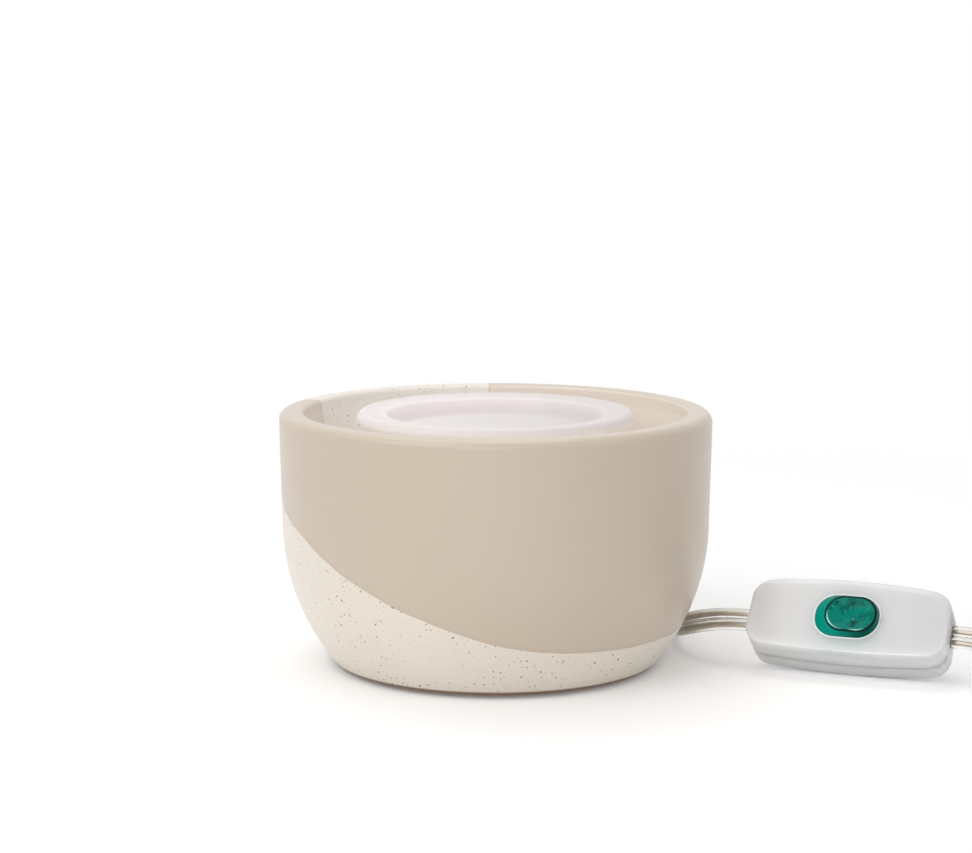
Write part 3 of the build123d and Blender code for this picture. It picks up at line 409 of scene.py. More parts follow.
clear_sleeve = finish("clear lead sleeve", (0.97, 0.96, 0.93), (0.93, 0.91, 0.86), 0.12,
                      spread=0.08, patch=90, grain=500, IOR=1.5, Transmission_Weight=0.92)
strands = finish("tinned copper strands", (0.66, 0.60, 0.51), (0.50, 0.44, 0.36), 0.36,
                 spread=0.2, patch=300, grain=2500, Metallic=1.0)


def twin_lead(name, points, first_way, last_way):
    """One length of the lead: its clear sleeve, and its two cores as one piece."""
    places, marks = evenly(route_points(name + "_route", points))
    wide, thin = edge_frames(places, marks, first_way, last_way)
    sleeve = new_piece(name, swept(name, places, wide, thin, [sleeve_outline()] * len(places)))
    sleeve.data.materials.append(clear_sleeve)
    inner = bmesh.new()
    for side in (1, -1):
        bar = swept(name + "_core", places, wide, thin, core_sections(marks, side))
        inner.from_mesh(bar)
        bpy.data.meshes.remove(bar)
    mesh = bpy.data.meshes.new(name + "_cores")
    inner.to_mesh(mesh)
    inner.free()
    mesh.shade_smooth()
    cores = new_piece(name + "_cores", mesh)
    cores.data.materials.append(strands)
    cores.parent = sleeve
    return sleeve, places


# Lead from the bowl to the switch. It leaves the bowl's back through its bushing, lies
# on the table in a bend behind the bowl, and rises past its right side to the switch.
switch_centre = Vector((0.1026, -0.0178, 0.0131083))
switch_turn = radians(-21.4)
switch_face_rise = radians(40.0)
switch_length = 0.058
switch_along = Vector((cos(switch_turn), sin(switch_turn), 0))
switch_level = Vector((-sin(switch_turn), cos(switch_turn), 0))
switch_out = switch_level * -cos(switch_face_rise) + Vector((0, 0, sin(switch_face_rise)))
switch_up = switch_out.cross(switch_along)
lead_straight = 0.008
inlet_height = 0.013
relief_tip = 0.078
exit_point = (0, relief_tip, inlet_height)
exit_run = (0, relief_tip + 2 * lead_width, inlet_height)
left_end = switch_centre - switch_along * switch_length / 2
right_end = switch_centre + switch_along * switch_length / 2
left_run = left_end - switch_along * lead_straight
right_run = right_end + switch_along * lead_straight
lead_to_switch_route = [
    (0.0025, 0.1030, 0.0108), (0.0100, 0.1150, 0.0072), (0.0220, 0.1220, 0.0046),
    (0.0360, 0.1215, 0.0035), (0.0480, 0.1140, 0.0035), (0.0555, 0.1010, 0.0035),
    (0.0580, 0.0850, 0.0035), (0.0574, 0.0690, 0.0035), (0.0560, 0.0540, 0.0035),
    (0.0554, 0.0400, 0.0035), (0.0552, 0.0270, 0.0045), (0.0553, 0.0156, 0.0065),
    (0.0578, 0.0075, 0.0090), (0.0619, 0.0009, 0.0114),
]
to_switch = [exit_point, exit_run, *lead_to_switch_route, left_run, left_end]
lead_to_switch, switch_path = twin_lead("lead_from_bowl", to_switch, (0, 0, 1), switch_up)
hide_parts("lead_to_switch")

# Lead from the switch to the plug. The length that the table has no room for is wound
# in a flat coil of two layers, just past the right edge of the view.
lead_to_coil_route = [(0.1470, -0.0346, 0.0104), (0.1600, -0.0372, 0.0066),
                      (0.1730, -0.0370, 0.0040)]
lead_to_plug_route = [(0.2478, 0.0420, 0.0086), (0.2515, 0.0550, 0.0056),
                      (0.2575, 0.0670, 0.0054)]
coil_centre = (0.200, 0.008)
coil_start_radius = 0.044
coil_pitch = lead_width + 0.0007
coil_rest = 0.0035
coil_quarters_in = 9
coil_quarters_turn = 2
coil_quarters_out = 10
coil_steps = 4
coil_nudge = 0.01
plug_tail = Vector((0.271, 0.088, 0.0065))
plug_turn = radians(54)
plug_direction = Vector((cos(plug_turn), sin(plug_turn), 0))


def coil_station(quarter):
    """The point on the coil's middle line after a number of quarter turns."""
    rate = coil_pitch / (2 * pi)
    inner = coil_start_radius - coil_pitch * coil_quarters_in / 4
    turn_angle = coil_quarters_turn * pi / 2
    into = quarter * pi / 2
    past = into - coil_quarters_in * pi / 2
    angle = into - pi / 2
    height = coil_rest
    if past <= 0:
        radius = coil_start_radius - rate * into
    elif past < turn_angle:
        share = past / turn_angle
        radius = inner - rate * past * (1 - share)
        height += coil_pitch * share
    else:
        radius = inner + rate * (past - turn_angle)
        height += coil_pitch
    return Vector((coil_centre[0] + radius * cos(angle), coil_centre[1] + radius * sin(angle),
                   height))


coil_count = coil_quarters_in + coil_quarters_turn + coil_quarters_out
coil_reach = 1 / cos(pi / 2 / coil_steps / 2)
coil_points = []
for i in range(1, coil_count * coil_steps):
    place = coil_station(i / coil_steps)
    out = Vector((place.x - coil_centre[0], place.y - coil_centre[1], 0))
    coil_points.append(place + out * (coil_reach - 1))
coil_first, coil_last = coil_station(0), coil_station(coil_count)
first_heading = (coil_station(coil_nudge) - coil_first).normalized()
last_heading = (coil_last - coil_station(coil_count - coil_nudge)).normalized()
to_plug = [right_end, right_run, *lead_to_coil_route,
           coil_first - first_heading * 3 * lead_width, coil_first - first_heading * lead_width,
           coil_first, *coil_points, coil_last,
           coil_last + last_heading * lead_width, coil_last + last_heading * 3 * lead_width,
           *lead_to_plug_route, plug_tail - plug_direction * 2 * lead_width, plug_tail]
across_plug = plug_direction.cross(Vector((0, 0, 1)))
lead_to_plug, plug_path = twin_lead("lead_to_wall", to_plug, switch_up, across_plug)
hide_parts("lead_to_coil", "lead_coil", "lead_to_plug")


# Two-glaze bowl. It is thrown stoneware, dipped whole in a speckled cream glaze and then
# at a slant in taupe, so that the two meet in a line that drops from left to right.
bowl_radius = 0.0635
bowl_height = 0.0746
rim_width = 0.0070
side_taper = radians(1.95)
belly_top = 0.040
belly_radius = 0.064
bowl_wall = 0.0065
foot_gap = 0.0008
foot_round = 0.0013
recess_taper = 0.0016
recess_corner = 0.0040
deck_top = 0.060
deck_thickness = 0.007
deck_hole = 0.027
rebate_radius = 0.041
ledge_radius = 0.038
ledge_low = 0.004
ledge_high = 0.007
inlet_boss_radius = 0.0086
inlet_inner_face = 0.0426
inlet_seat = 0.0516
inlet_hole_radius = 0.0047
inlet_seat_radius = 0.0059
inlet_wall_hidden = 0.0010
inlet_sharp = radians(50)
inlet_overrun = (0.004, 0.002)
bowl_divisions = 320
bowl_wobble = (0.00022, 14.0)
belly_steps = 40
cavity_steps = 24
rim_steps = 60
recess_straight = 0.0065
recess_straight_taper = 0.6
deck_round = 0.006
hub = 0.0005
weld_distance = 0.000002
rim_round = rim_width / 2
rim_closing = 0.0004
rim_left_round = 0.0020
rim_right_round = 0.0031
rim_inner_round = 0.0009
rim_base = bowl_height - rim_round
rim_middle = bowl_radius - rim_closing - rim_round
belly_top_radius = bowl_radius - tan(side_taper) * (rim_base - belly_top)
belly_centre_x = belly_top_radius - belly_radius * cos(side_taper)
belly_centre_z = belly_top + belly_radius * sin(side_taper)


def belly(height, inset=0.0):
    """Radius of the belly's arc at a height, drawn in by an inset."""
    return belly_centre_x + sqrt((belly_radius - inset) ** 2 - (height - belly_centre_z) ** 2)


def straight(start, end, count):
    """Points on a straight stretch, without its last."""
    return [(start[0] + (end[0] - start[0]) * i / count, start[1] + (end[1] - start[1]) * i / count)
            for i in range(count)]


def corner(before, at, after, radius, count=6):
    """Points on the round that a corner of that radius gets."""
    one = (Vector(before) - Vector(at)).normalized()
    two = (Vector(after) - Vector(at)).normalized()
    half = one.angle(two) / 2
    centre = Vector(at) + (one + two).normalized() * radius / sin(half)
    first = Vector(at) + one * radius / tan(half) - centre
    last = Vector(at) + two * radius / tan(half) - centre
    whole = first.angle_signed(last)
    rounds = []
    for i in range(count + 1):
        turned_by = Matrix.Rotation(-whole * i / count, 2) @ first
        rounds.append((centre.x + turned_by.x, centre.y + turned_by.y))
    return rounds


def turned_tree():
    """A tree that turns a section, drawn in radius and height, about the upright axis."""
    tree = new_group("turned on a wheel", "GeometryNodeTree",
                     {"Section": "Geometry", "Divisions": "Int", "Hub Radius": "Float",
                      "Wobble Depth": "Float", "Wobble Scale": "Float", "Finish": "Material"},
                     {"Turned Piece": "Geometry"})
    enter = add_node(tree, "NodeGroupInput").outputs
    back = maths(tree, "MULTIPLY", enter["Hub Radius"], -1)
    shift = add_node(tree, "ShaderNodeCombineXYZ", {"X": back})
    section = add_node(tree, "GeometryNodeMeshToCurve", {0: enter["Section"]})
    move = add_node(tree, "GeometryNodeTransform", {
        "Geometry": section.outputs[0], "Translation": shift.outputs[0], "Scale": (1, -1, 1)})
    wheel = add_node(tree, "GeometryNodeCurvePrimitiveCircle", {
        "Resolution": enter["Divisions"], "Radius": enter["Hub Radius"]})
    sweep = add_node(tree, "GeometryNodeCurveToMesh", {
        "Curve": wheel.outputs["Curve"], "Profile Curve": move.outputs[0]})
    weld = add_node(tree, "GeometryNodeMergeByDistance", {
        "Geometry": sweep.outputs[0], "Distance": weld_distance})
    place = add_node(tree, "GeometryNodeInputPosition").outputs[0]
    level = maths(tree, "SUBTRACT", noise(tree, enter["Wobble Scale"], place=place), 0.5)
    deep = maths(tree, "MULTIPLY", level, enter["Wobble Depth"])
    flat = vector_maths(tree, "MULTIPLY", 0, place, (1, 1, 0))
    outwards = vector_maths(tree, "NORMALIZE", 0, flat)
    offset = add_node(tree, "ShaderNodeVectorMath", {0: outwards, "Scale": deep},
                      operation="SCALE")
    push = add_node(tree, "GeometryNodeSetPosition", {
        "Geometry": weld.outputs[0], "Offset": offset.outputs[0]})
    smooth = add_node(tree, "GeometryNodeSetShadeSmooth", {"Geometry": push.outputs[0]})
    real = add_node(tree, "GeometryNodeRealizeInstances", {0: smooth.outputs[0]})
    paint = add_node(tree, "GeometryNodeSetMaterial", {
        "Geometry": real.outputs[0], "Material": enter["Finish"]})
    add_node(tree, "NodeGroupOutput", {0: paint.outputs[0]})
    return tree


turned_on_wheel = turned_tree()


def turned_piece(name, section, finish_material, divisions, wobble, wobble_scale):
    """The mesh of a closed section turned about the upright axis."""
    outline = bpy.data.meshes.new(name + "_section")
    count = len(section)
    closed = section[0][0] > 0 and section[-1][0] > 0
    edges = [(i, i + 1) for i in range(count - 1)] + ([(count - 1, 0)] if closed else [])
    outline.from_pydata([(r, z, 0) for r, z in section], edges, [])
    carrier = bpy.data.objects.new(name + "_section", outline)
    scene.collection.objects.link(carrier)
    step = carrier.modifiers.new("turned", "NODES")
    step.node_group = turned_on_wheel
    values = {"Divisions": divisions, "Hub Radius": hub, "Wobble Depth": wobble,
              "Wobble Scale": wobble_scale, "Finish": finish_material}
    for socket in turned_on_wheel.interface.items_tree:
        if socket.name in values:
            step[socket.identifier] = values[socket.name]
    shown = carrier.evaluated_get(bpy.context.evaluated_depsgraph_get())
    mesh = bpy.data.meshes.new_from_object(shown)
    mesh.name = name
    bpy.data.objects.remove(carrier)
    outward(mesh)
    mesh.shade_smooth()
    return mesh


def arc_points(centre, radius, start, end, count):
    """Points on an arc from one angle to another, without its last."""
    return [(centre[0] + radius * cos(start + (end - start) * i / count),
             centre[1] + radius * sin(start + (end - start) * i / count)) for i in range(count)]


def bowl_section():
    """The bowl's section, from the foot up the outside, over the rim and down the inside."""
    foot = belly(foot_gap)
    heights = [foot_gap + (belly_top - foot_gap) * i / belly_steps for i in range(belly_steps + 1)]
    outside = [(belly(z), z) for z in heights]
    points = straight((rebate_radius, foot_gap), (foot - foot_round, foot_gap), 4)
    points += corner((rebate_radius, foot_gap), (foot, foot_gap), outside[6], foot_round)
    points += [p for p in outside[:-1] if p[1] > foot_gap + foot_round * 0.9]
    points += straight((belly_top_radius, belly_top), (rim_middle + rim_round, rim_base), 16)
    points += arc_points((rim_middle, rim_base), rim_round, 0, pi, rim_steps)
    inner_top = (rim_middle - rim_round, rim_base)
    deck_corner = (inner_top[0] - recess_taper, deck_top)
    points += straight(inner_top, (inner_top[0] - recess_taper * recess_straight_taper,
                                   rim_base - recess_straight), 4)
    points += corner(inner_top, deck_corner, (deck_hole, deck_top), recess_corner, 8)
    points += straight((deck_corner[0] - deck_round, deck_top), (deck_hole, deck_top), 10)
    deck_under = deck_top - deck_thickness
    points += straight((deck_hole, deck_top), (deck_hole, deck_under), 3)
    points += straight((deck_hole, deck_under), (belly(deck_under, bowl_wall), deck_under), 8)
    for i in range(cavity_steps):
        height = deck_under + (ledge_high - deck_under) * i / cavity_steps
        points.append((belly(height, bowl_wall), height))
    points += straight((belly(ledge_high, bowl_wall), ledge_high), (ledge_radius, ledge_high), 4)
    points += straight((ledge_radius, ledge_high), (ledge_radius, ledge_low), 2)
    points += straight((ledge_radius, ledge_low), (rebate_radius, ledge_low), 2)
    points += straight((rebate_radius, ledge_low), (rebate_radius, foot_gap), 2)
    return points


def rim_reach(across, up, edge_round):
    """How far the squared rim reaches from its middle, in a direction across and up."""
    if across >= up and rim_round * up / across <= rim_round - edge_round:
        return rim_round / across
    if up >= across and rim_round * across / up <= rim_round - edge_round:
        return rim_round / up
    centre = rim_round - edge_round
    ahead = (across + up) * centre
    return ahead + sqrt(ahead ** 2 - 2 * centre ** 2 + edge_round ** 2)


def square_rim(mesh):
    """Squares the thrown rim: its top is flat, its inner edge crisp, its right side softer."""
    for vertex in mesh.vertices:
        place = vertex.co
        radius = hypot(place.x, place.y)
        if place.z <= rim_base or radius < rim_middle - rim_width:
            continue
        from_middle, up = radius - rim_middle, place.z - rim_base
        reach = hypot(from_middle, up)
        share = 0.5 + 0.5 * place.x / radius
        outer_round = rim_left_round + (rim_right_round - rim_left_round) * share
        edge_round = outer_round if from_middle > 0 else rim_inner_round
        grown = rim_reach(abs(from_middle) / reach, up / reach, edge_round) / rim_round
        new_radius = rim_middle + from_middle * grown
        vertex.co = (place.x / radius * new_radius, place.y / radius * new_radius,
                     rim_base + up * grown)


# where the taupe glaze ends on the outside: degrees round from the right, and a height
glaze_line = [
    (12, 0.0165), (30, 0.0270), (50, 0.0420), (70, 0.0560), (84, 0.0660), (91.5, 0.0735),
    (93.3, 0.0850), (95, 0.1150), (125, 0.1300), (155, 0.1150), (157.8, 0.0850), (159.7, 0.0735),
    (166, 0.0640), (175, 0.0558), (185, 0.0508), (197, 0.0466), (209, 0.0427), (217, 0.0391),
    (227, 0.0342), (235, 0.0307), (243, 0.0270), (256, 0.0221), (270, 0.0175), (284, 0.0148),
    (298, 0.0136), (312, 0.0131), (326, 0.0130), (340, 0.0127), (352, 0.0131),
]


def line_height(angle):
    """The glaze line's height at an angle, in degrees, on a smooth curve."""
    angle %= 360
    count = len(glaze_line)
    after = next((i for i in range(count) if glaze_line[i][0] > angle), count)
    spots = []
    for i in range(after - 2, after + 2):
        turn, height = glaze_line[i % count]
        spots.append((turn + 360 * (i // count), height))
    (a0, h0), (a1, h1), (a2, h2), (a3, h3) = spots
    share = (angle - a1) / (a2 - a1)
    rise1, rise2 = (h2 - h0) / (a2 - a0) * (a2 - a1), (h3 - h1) / (a3 - a1) * (a2 - a1)
    limit = 3 * abs(h2 - h1)
    rise1, rise2 = max(-limit, min(limit, rise1)), max(-limit, min(limit, rise2))
    s2, s3 = share * share, share ** 3
    return (h1 * (2 * s3 - 3 * s2 + 1) + rise1 * (s3 - 2 * s2 + share)
            + h2 * (3 * s2 - 2 * s3) + rise2 * (s3 - s2))


def glaze_distance(place):
    """How far a point of the bowl lies above the glaze line, measured on the bowl."""
    radius = hypot(place.x, place.y)
    angle = degrees(atan2(place.y, place.x))
    height = place.z
    if radius < rim_middle and place.z > deck_top - deck_thickness / 2:
        height = bowl_height + (bowl_height - place.z)
    elif radius < bowl_radius - bowl_wall * 0.9 and place.z < deck_top:
        in_the_wall = radius >= belly(max(place.z, foot_gap)) - belly_skin
        return place.z - line_height(angle) if in_the_wall else far_below_line
    slope = (line_height(angle + 0.5) - line_height(angle - 0.5)) / (radians(1) * max(radius, 0.01))
    return (height - line_height(angle)) / sqrt(1 + slope * slope)


belly_skin = 0.002
cavity_skin = 0.003
cavity_top_skin = 0.002
far_below_line = -0.02
taupe = (0.598, 0.505, 0.406)
taupe_other = (0.625, 0.520, 0.418)
taupe_edge = (0.50, 0.41, 0.32)
cream = (0.848, 0.778, 0.684)
cream_other = (0.812, 0.738, 0.642)
# painted light: lighter glazes for inside the rim, standing in for light on the recess walls
painted_light_taupe = (0.88, 0.80, 0.71)
painted_light_cream = (0.97, 0.93, 0.875)
speck_brown = (0.045, 0.030, 0.022)
# bare clay at the foot and in the hidden cavity, dark enough to also paint the shade line under the
# foot, and the band it covers at the foot
bare_clay_and_foot_shade = (0.22, 0.13, 0.065)
bare_and_shaded_band = 0.0006
# painted light inside the rim starts just under its top and is full a little lower
painted_light_start = 0.0001
painted_light_depth = 0.0004
line_waver = 0.0006
line_blur = (-0.00010, 0.00014)
edge_start = (-0.0002, 0.0002)
edge_fade = (0.0016, 0.0002)
edge_strength = 0.25
# specks: cells in a metre, the largest speck in cells, the share of the cells with one
usual_specks = (700, 0.25, 0.66)
large_specks = (430, 0.18, 0.26)
faint_specks = (1100, 0.30, 0.50)
faint_strength = 0.42
speck_strength = 0.92
speck_crowding = (0.30, 0.56)
speck_chance_blur = 0.03
smallest_speck = 0.3
speck_edge = 0.35
clay_blur = (0.3, 0.7)
glaze_relief = 0.00018
line_relief = 0.6
swelling_relief = 0.20
glaze_roughness = 0.32
roughness_spread = 0.12
# how fine each unevenness of the glaze is
glaze_scales = {"waver": 220, "taupe": 26, "cream": 38, "crowd": 70, "swelling": 140, "rough": 55}


def point_value(tree, name):
    """A value that the points of the mesh carry."""
    return add_node(tree, "ShaderNodeAttribute", attribute_name=name).outputs["Fac"]


def specks(tree, scale, largest, share):
    """Round specks of mixed size, a share of the cells holding one."""
    cells = add_node(tree, "ShaderNodeTexVoronoi", {"Vector": object_place(tree), "Scale": scale})
    chance = add_node(tree, "ShaderNodeSeparateColor", {0: cells.outputs["Color"]}).outputs
    there = smooth_step(tree, chance[0], 1 - share, 1 - share + speck_chance_blur)
    reach = maths(tree, "MULTIPLY_ADD", chance[1], largest * (1 - smallest_speck),
                  largest * smallest_speck)
    inside = maths(tree, "SUBTRACT", reach, cells.outputs["Distance"])
    return maths(tree, "MULTIPLY", smooth_step(tree, inside, 0.0, largest * speck_edge), there)


def glaze_material():
    """Two satin glazes that meet in a raised line, with iron specks in the cream, painted light
    inside the rim and painted shade along the bare foot.
    """
    material, shader = surface("taupe over cream glaze", taupe, 0.36, IOR=1.5,
                               Coat_Weight=0.30, Coat_Roughness=0.20)
    tree = material.node_tree

    def uneven_glaze(name, detail=3.0):
        return noise(tree, glaze_scales[name], detail)

    waver = maths(tree, "MULTIPLY_ADD", uneven_glaze("waver"), line_waver, -line_waver / 2)
    above = maths(tree, "ADD", point_value(tree, "above_glaze_line"), waver)
    covered = smooth_step(tree, above, *line_blur)
    edge = maths(tree, "MULTIPLY", smooth_step(tree, above, *edge_start),
                 smooth_step(tree, above, *edge_fade))
    # painted light: the glaze inside the rim is lightened towards the painted light colours
    inside = point_value(tree, "painted_light_in_rim")
    taupe_mix = blend(tree, uneven_glaze("taupe"), taupe, taupe_other)
    taupe_mix = blend(tree, inside, taupe_mix, painted_light_taupe)
    taupe_mix = blend(tree, maths(tree, "MULTIPLY", edge, edge_strength), taupe_mix, taupe_edge)
    cream_mix = blend(tree, uneven_glaze("cream"), cream, cream_other)
    cream_mix = blend(tree, inside, cream_mix, painted_light_cream)
    crowd = smooth_step(tree, uneven_glaze("crowd", 1.0), *speck_crowding)
    dots = maths(tree, "MULTIPLY", specks(tree, *usual_specks), crowd)
    dots = maths(tree, "MAXIMUM", dots, specks(tree, *large_specks))
    faint = maths(tree, "MULTIPLY", specks(tree, *faint_specks), faint_strength)
    dots = maths(tree, "MAXIMUM", dots, faint)
    dots = maths(tree, "MULTIPLY", dots, speck_strength)
    glazed = blend(tree, covered, blend(tree, dots, cream_mix, speck_brown), taupe_mix)
    # bare clay, with painted shade along the foot
    bare = smooth_step(tree, point_value(tree, "bare_foot_and_shade"), *clay_blur)
    swelling = maths(tree, "MULTIPLY", uneven_glaze("swelling"), swelling_relief)
    relief = maths(tree, "MULTIPLY_ADD", covered, line_relief, swelling)
    bump = add_node(tree, "ShaderNodeBump", {"Distance": glaze_relief, "Height": relief})
    feed(tree, shader, {
        "Base Color": blend(tree, bare, glazed, bare_clay_and_foot_shade),
        "Roughness": maths(tree, "MULTIPLY_ADD", uneven_glaze("rough"), roughness_spread,
                           glaze_roughness),
        "Normal": bump.outputs[0]})
    return material


def post(name, radius, start, end):
    """A closed round post along the inlet's line, from one distance behind to another."""
    build = bmesh.new()
    middle = Matrix.Translation((0, (start + end) / 2, inlet_height))
    bmesh.ops.create_cone(build, cap_ends=True, segments=64, radius1=radius, radius2=radius,
                          depth=end - start, matrix=middle @ Matrix.Rotation(pi / 2, 4, "X"))
    mesh = bpy.data.meshes.new(name)
    build.to_mesh(mesh)
    build.free()
    piece = bpy.data.objects.new(name, mesh)
    scene.collection.objects.link(piece)
    return piece


def with_inlet(mesh):
    """The bowl with the lead's inlet: a boss inside, a hole, and a flat seat outside."""
    carrier = bpy.data.objects.new(mesh.name, mesh)
    scene.collection.objects.link(carrier)
    boss_end = inlet_seat - inlet_wall_hidden
    tools = [(post("inlet_boss", inlet_boss_radius, inlet_inner_face, boss_end), "UNION"),
             (post("inlet_hole", inlet_hole_radius, inlet_inner_face - inlet_overrun[0],
                   bowl_radius), "DIFFERENCE"),
             (post("inlet_seat", inlet_seat_radius, inlet_seat, bowl_radius + inlet_overrun[1]),
              "DIFFERENCE")]
    for tool, operation in tools:
        cut = carrier.modifiers.new(tool.name, "BOOLEAN")
        cut.operation = operation
        cut.solver = "EXACT"
        cut.object = tool
    shown = carrier.evaluated_get(bpy.context.evaluated_depsgraph_get())
    cut_mesh = bpy.data.meshes.new_from_object(shown)
    cut_mesh.name = mesh.name
    for piece in [carrier] + [tool for tool, _ in tools]:
        bpy.data.objects.remove(piece)
    crease(cut_mesh, inlet_sharp)
    return cut_mesh


def give_values(mesh, name, values):
    """Gives each point of a mesh a value, which a material reads by its name."""
    mesh.attributes.new(name, "FLOAT", "POINT").data.foreach_set("value", list(values))


def held(value):
    """A number kept between nothing and one."""
    return min(1.0, max(0.0, value))


def glaze_values(place):
    """At a point of the bowl: the height over the glaze line, bare clay, and how far painted light
    lightens the glaze inside the rim.
    """
    radius = hypot(place.x, place.y)
    cavity = radius < belly(min(max(place.z, foot_gap), belly_top)) - cavity_skin
    in_cavity = cavity and place.z < deck_top - cavity_top_skin
    bare = place.z < foot_gap + bare_and_shaded_band or in_cavity
    in_recess = radius < rim_middle - rim_round / 2 and place.z > deck_top - deck_thickness
    depth = bowl_height - painted_light_start - place.z if in_recess else 0
    return glaze_distance(place), float(bare), held(depth / painted_light_depth)


bowl_mesh = turned_piece("bowl", bowl_section(), glaze_material(), bowl_divisions, *bowl_wobble)
square_rim(bowl_mesh)
bowl_mesh = with_inlet(bowl_mesh)
glaze_names = ("above_glaze_line", "bare_foot_and_shade", "painted_light_in_rim")
for name, values in zip(glaze_names, zip(*(glaze_values(spot.co) for spot in bowl_mesh.vertices))):
    give_values(bowl_mesh, name, values)
bowl = new_piece("bowl", bowl_mesh)
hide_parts("ceramic_bowl")

# Silicone dish. A soft translucent cup with a flared lip, moulded in one piece, that
# stands loose on the heating plate and is popped out to change the wax.
dish_radius = 0.0406
dish_top = bowl_height + 0.0007
dish_lip_width = 0.0086
dish_lip_drop = 0.0017
dish_depth = 0.0062
dish_floor_radius = 0.0298
dish_floor = 0.0024
dish_base_radius = 0.0364
dish_roll_width = 0.0023
dish_roll_height = 0.0023
dish_crest_drop = 0.0008
dish_base = dish_top - dish_depth - dish_floor
dish_crest_width = 0.0030
dish_under_height = 0.0017
dish_tip_drop = 0.0006
dish_tip_turn = radians(74)
dish_tip_steps = 12
dish_divisions = 192
dish_wobble = (0.00015, 25.0)
dish_rounds = {"base": 0.0008, "wall": 0.0012, "crest": 0.0030, "lip": 0.0010, "floor": 0.0024}
# painted light on the dish: how much in the middle, how fast it falls off to the right, how much
# less on the crest, and its pale colour
painted_light_middle = 0.42
painted_light_across = 14
painted_light_crest = 0.65
painted_light_pink = (0.935, 0.862, 0.852)


def dish_section():
    """The dish's section, from the base's middle out, up, over the lip and in."""
    base_middle, middle = (0, dish_base), (0, dish_top - dish_depth)
    base_edge = (dish_base_radius, dish_base)
    crest = (dish_radius - dish_roll_width, dish_top - dish_crest_drop)
    widest = (dish_radius, crest[1] - dish_roll_height)
    low_lip = (dish_radius, widest[1] - dish_tip_drop)
    lip_inner = (dish_radius - dish_lip_width, dish_top - dish_lip_drop)
    floor_edge = (dish_floor_radius, middle[1])
    points = straight(base_middle, (dish_base_radius - 0.001, dish_base), 12)
    points += corner(base_middle, base_edge, low_lip, dish_rounds["base"])
    points += corner(base_edge, low_lip, widest, dish_rounds["wall"], 5)
    for i in range(dish_tip_steps):
        angle = dish_tip_turn * i / dish_tip_steps
        points.append((crest[0] + dish_roll_width * cos(angle),
                       widest[1] + dish_roll_height * sin(angle)))
    points += corner((crest[0] + 0.001, crest[1]), crest, lip_inner, dish_rounds["crest"], 5)
    points += corner(crest, lip_inner, floor_edge, dish_rounds["lip"], 5)
    points += corner(lip_inner, floor_edge, middle, dish_rounds["floor"], 8)
    points += straight((dish_floor_radius - 0.003, middle[1]), middle, 14) + [middle]
    return points


def painted_light_share(place):
    """How much painted light lightens the silicone at a point: more on the left, less on the crest,
    most under it.
    """
    outer = held((hypot(place.x, place.y) - dish_radius) / dish_crest_width + 2)
    under = held((dish_top - place.z) / dish_under_height - 1)
    pale = held(painted_light_middle - painted_light_across * place.x) * (1 - painted_light_crest * outer * (1 - under))
    return pale + (1 - pale) * under * outer


def silicone_material():
    """Milky pink silicone, made paler by painted light on its left and under its lip."""
    material, shader, colour = patchy(
        "milky pink silicone", (0.700, 0.652, 0.645), (0.715, 0.665, 0.658), 0.46, spread=0.06,
        patch=40, grain=700, depth=0.000015, IOR=1.41, Subsurface_Weight=1.0,
        Subsurface_Scale=0.005, Subsurface_Radius=(1.0, 1.0, 1.0))
    tree = material.node_tree
    feed(tree, shader, {"Base Color": blend(tree, point_value(tree, "painted_light_share"), colour,
                                            painted_light_pink)})
    return material


dish_mesh = turned_piece("dish", dish_section(), silicone_material(), dish_divisions, *dish_wobble)
give_values(dish_mesh, "painted_light_share", (painted_light_share(spot.co) for spot in dish_mesh.vertices))
dish = new_piece("dish", dish_mesh, "dish")
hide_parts("silicone_dish")

# Switch housing. Two milky shells with bowed sides, moulded in a slightly see-through
# plastic and screwed together from below; the green button stands in an oval opening.
switch_width = 0.0240
switch_end_width = 0.0204
switch_half = 0.0080
switch_corner = 0.0060
switch_near_edge = 0.0005
switch_far_edge = 0.0027
switch_face_edge = 0.0019
shell_seam = 0.00001
bead_width = 0.00045
bead_rise = 0.00015
bead_steps = 8
switch_back_edge = 0.0030
switch_crown = 0.0008
switch_wall = 0.0016
opening_half_length = 0.00925
opening_half_width = 0.0066
opening_corner = 0.0061
opening_shift = 0.0002
opening_drop = 0.0007
outline_steps = 24
corner_steps = 10
edge_steps = 8
seam_rings = (0.0006, 0.0026)
face_rings = (0.03, 0.1, 0.25, 0.5, 0.75, 0.92)
back_rings = (0.0, 0.35, 0.7, 0.96)
inner_steps = 4
ring_sharp = radians(60)
# painted highlight along the face's near lower edge: where it fades in, where it ends and how fast
# it stops
painted_edge_highlight_fade = 0.014
painted_edge_highlight_end = 0.0235
painted_edge_highlight_stop = 0.0015
# painted glow: green light from the button, painted on the housing below it
glow_below = 0.004
glow_reach = (0.015, 0.006)
glow_strength = 0.45
# painted light: the lower side and the left end are lightened towards white where shade falls
painted_light_side_range = (0.0008, 0.0060)
painted_light_left_range = (0.002, 0.024)
painted_light_left_strength = 0.90
painted_green_glow = (0.50, 0.66, 0.66)
painted_light_white = (0.985, 0.985, 0.98)
painted_highlight_white = (0.97, 0.98, 0.98)


def into_place(mesh):
    """Moves a mesh from the switch's own frame to where the switch lies."""
    columns = Matrix((switch_along, switch_up, switch_out)).transposed().to_4x4()
    mesh.transform(Matrix.Translation(switch_centre) @ columns)
    return mesh


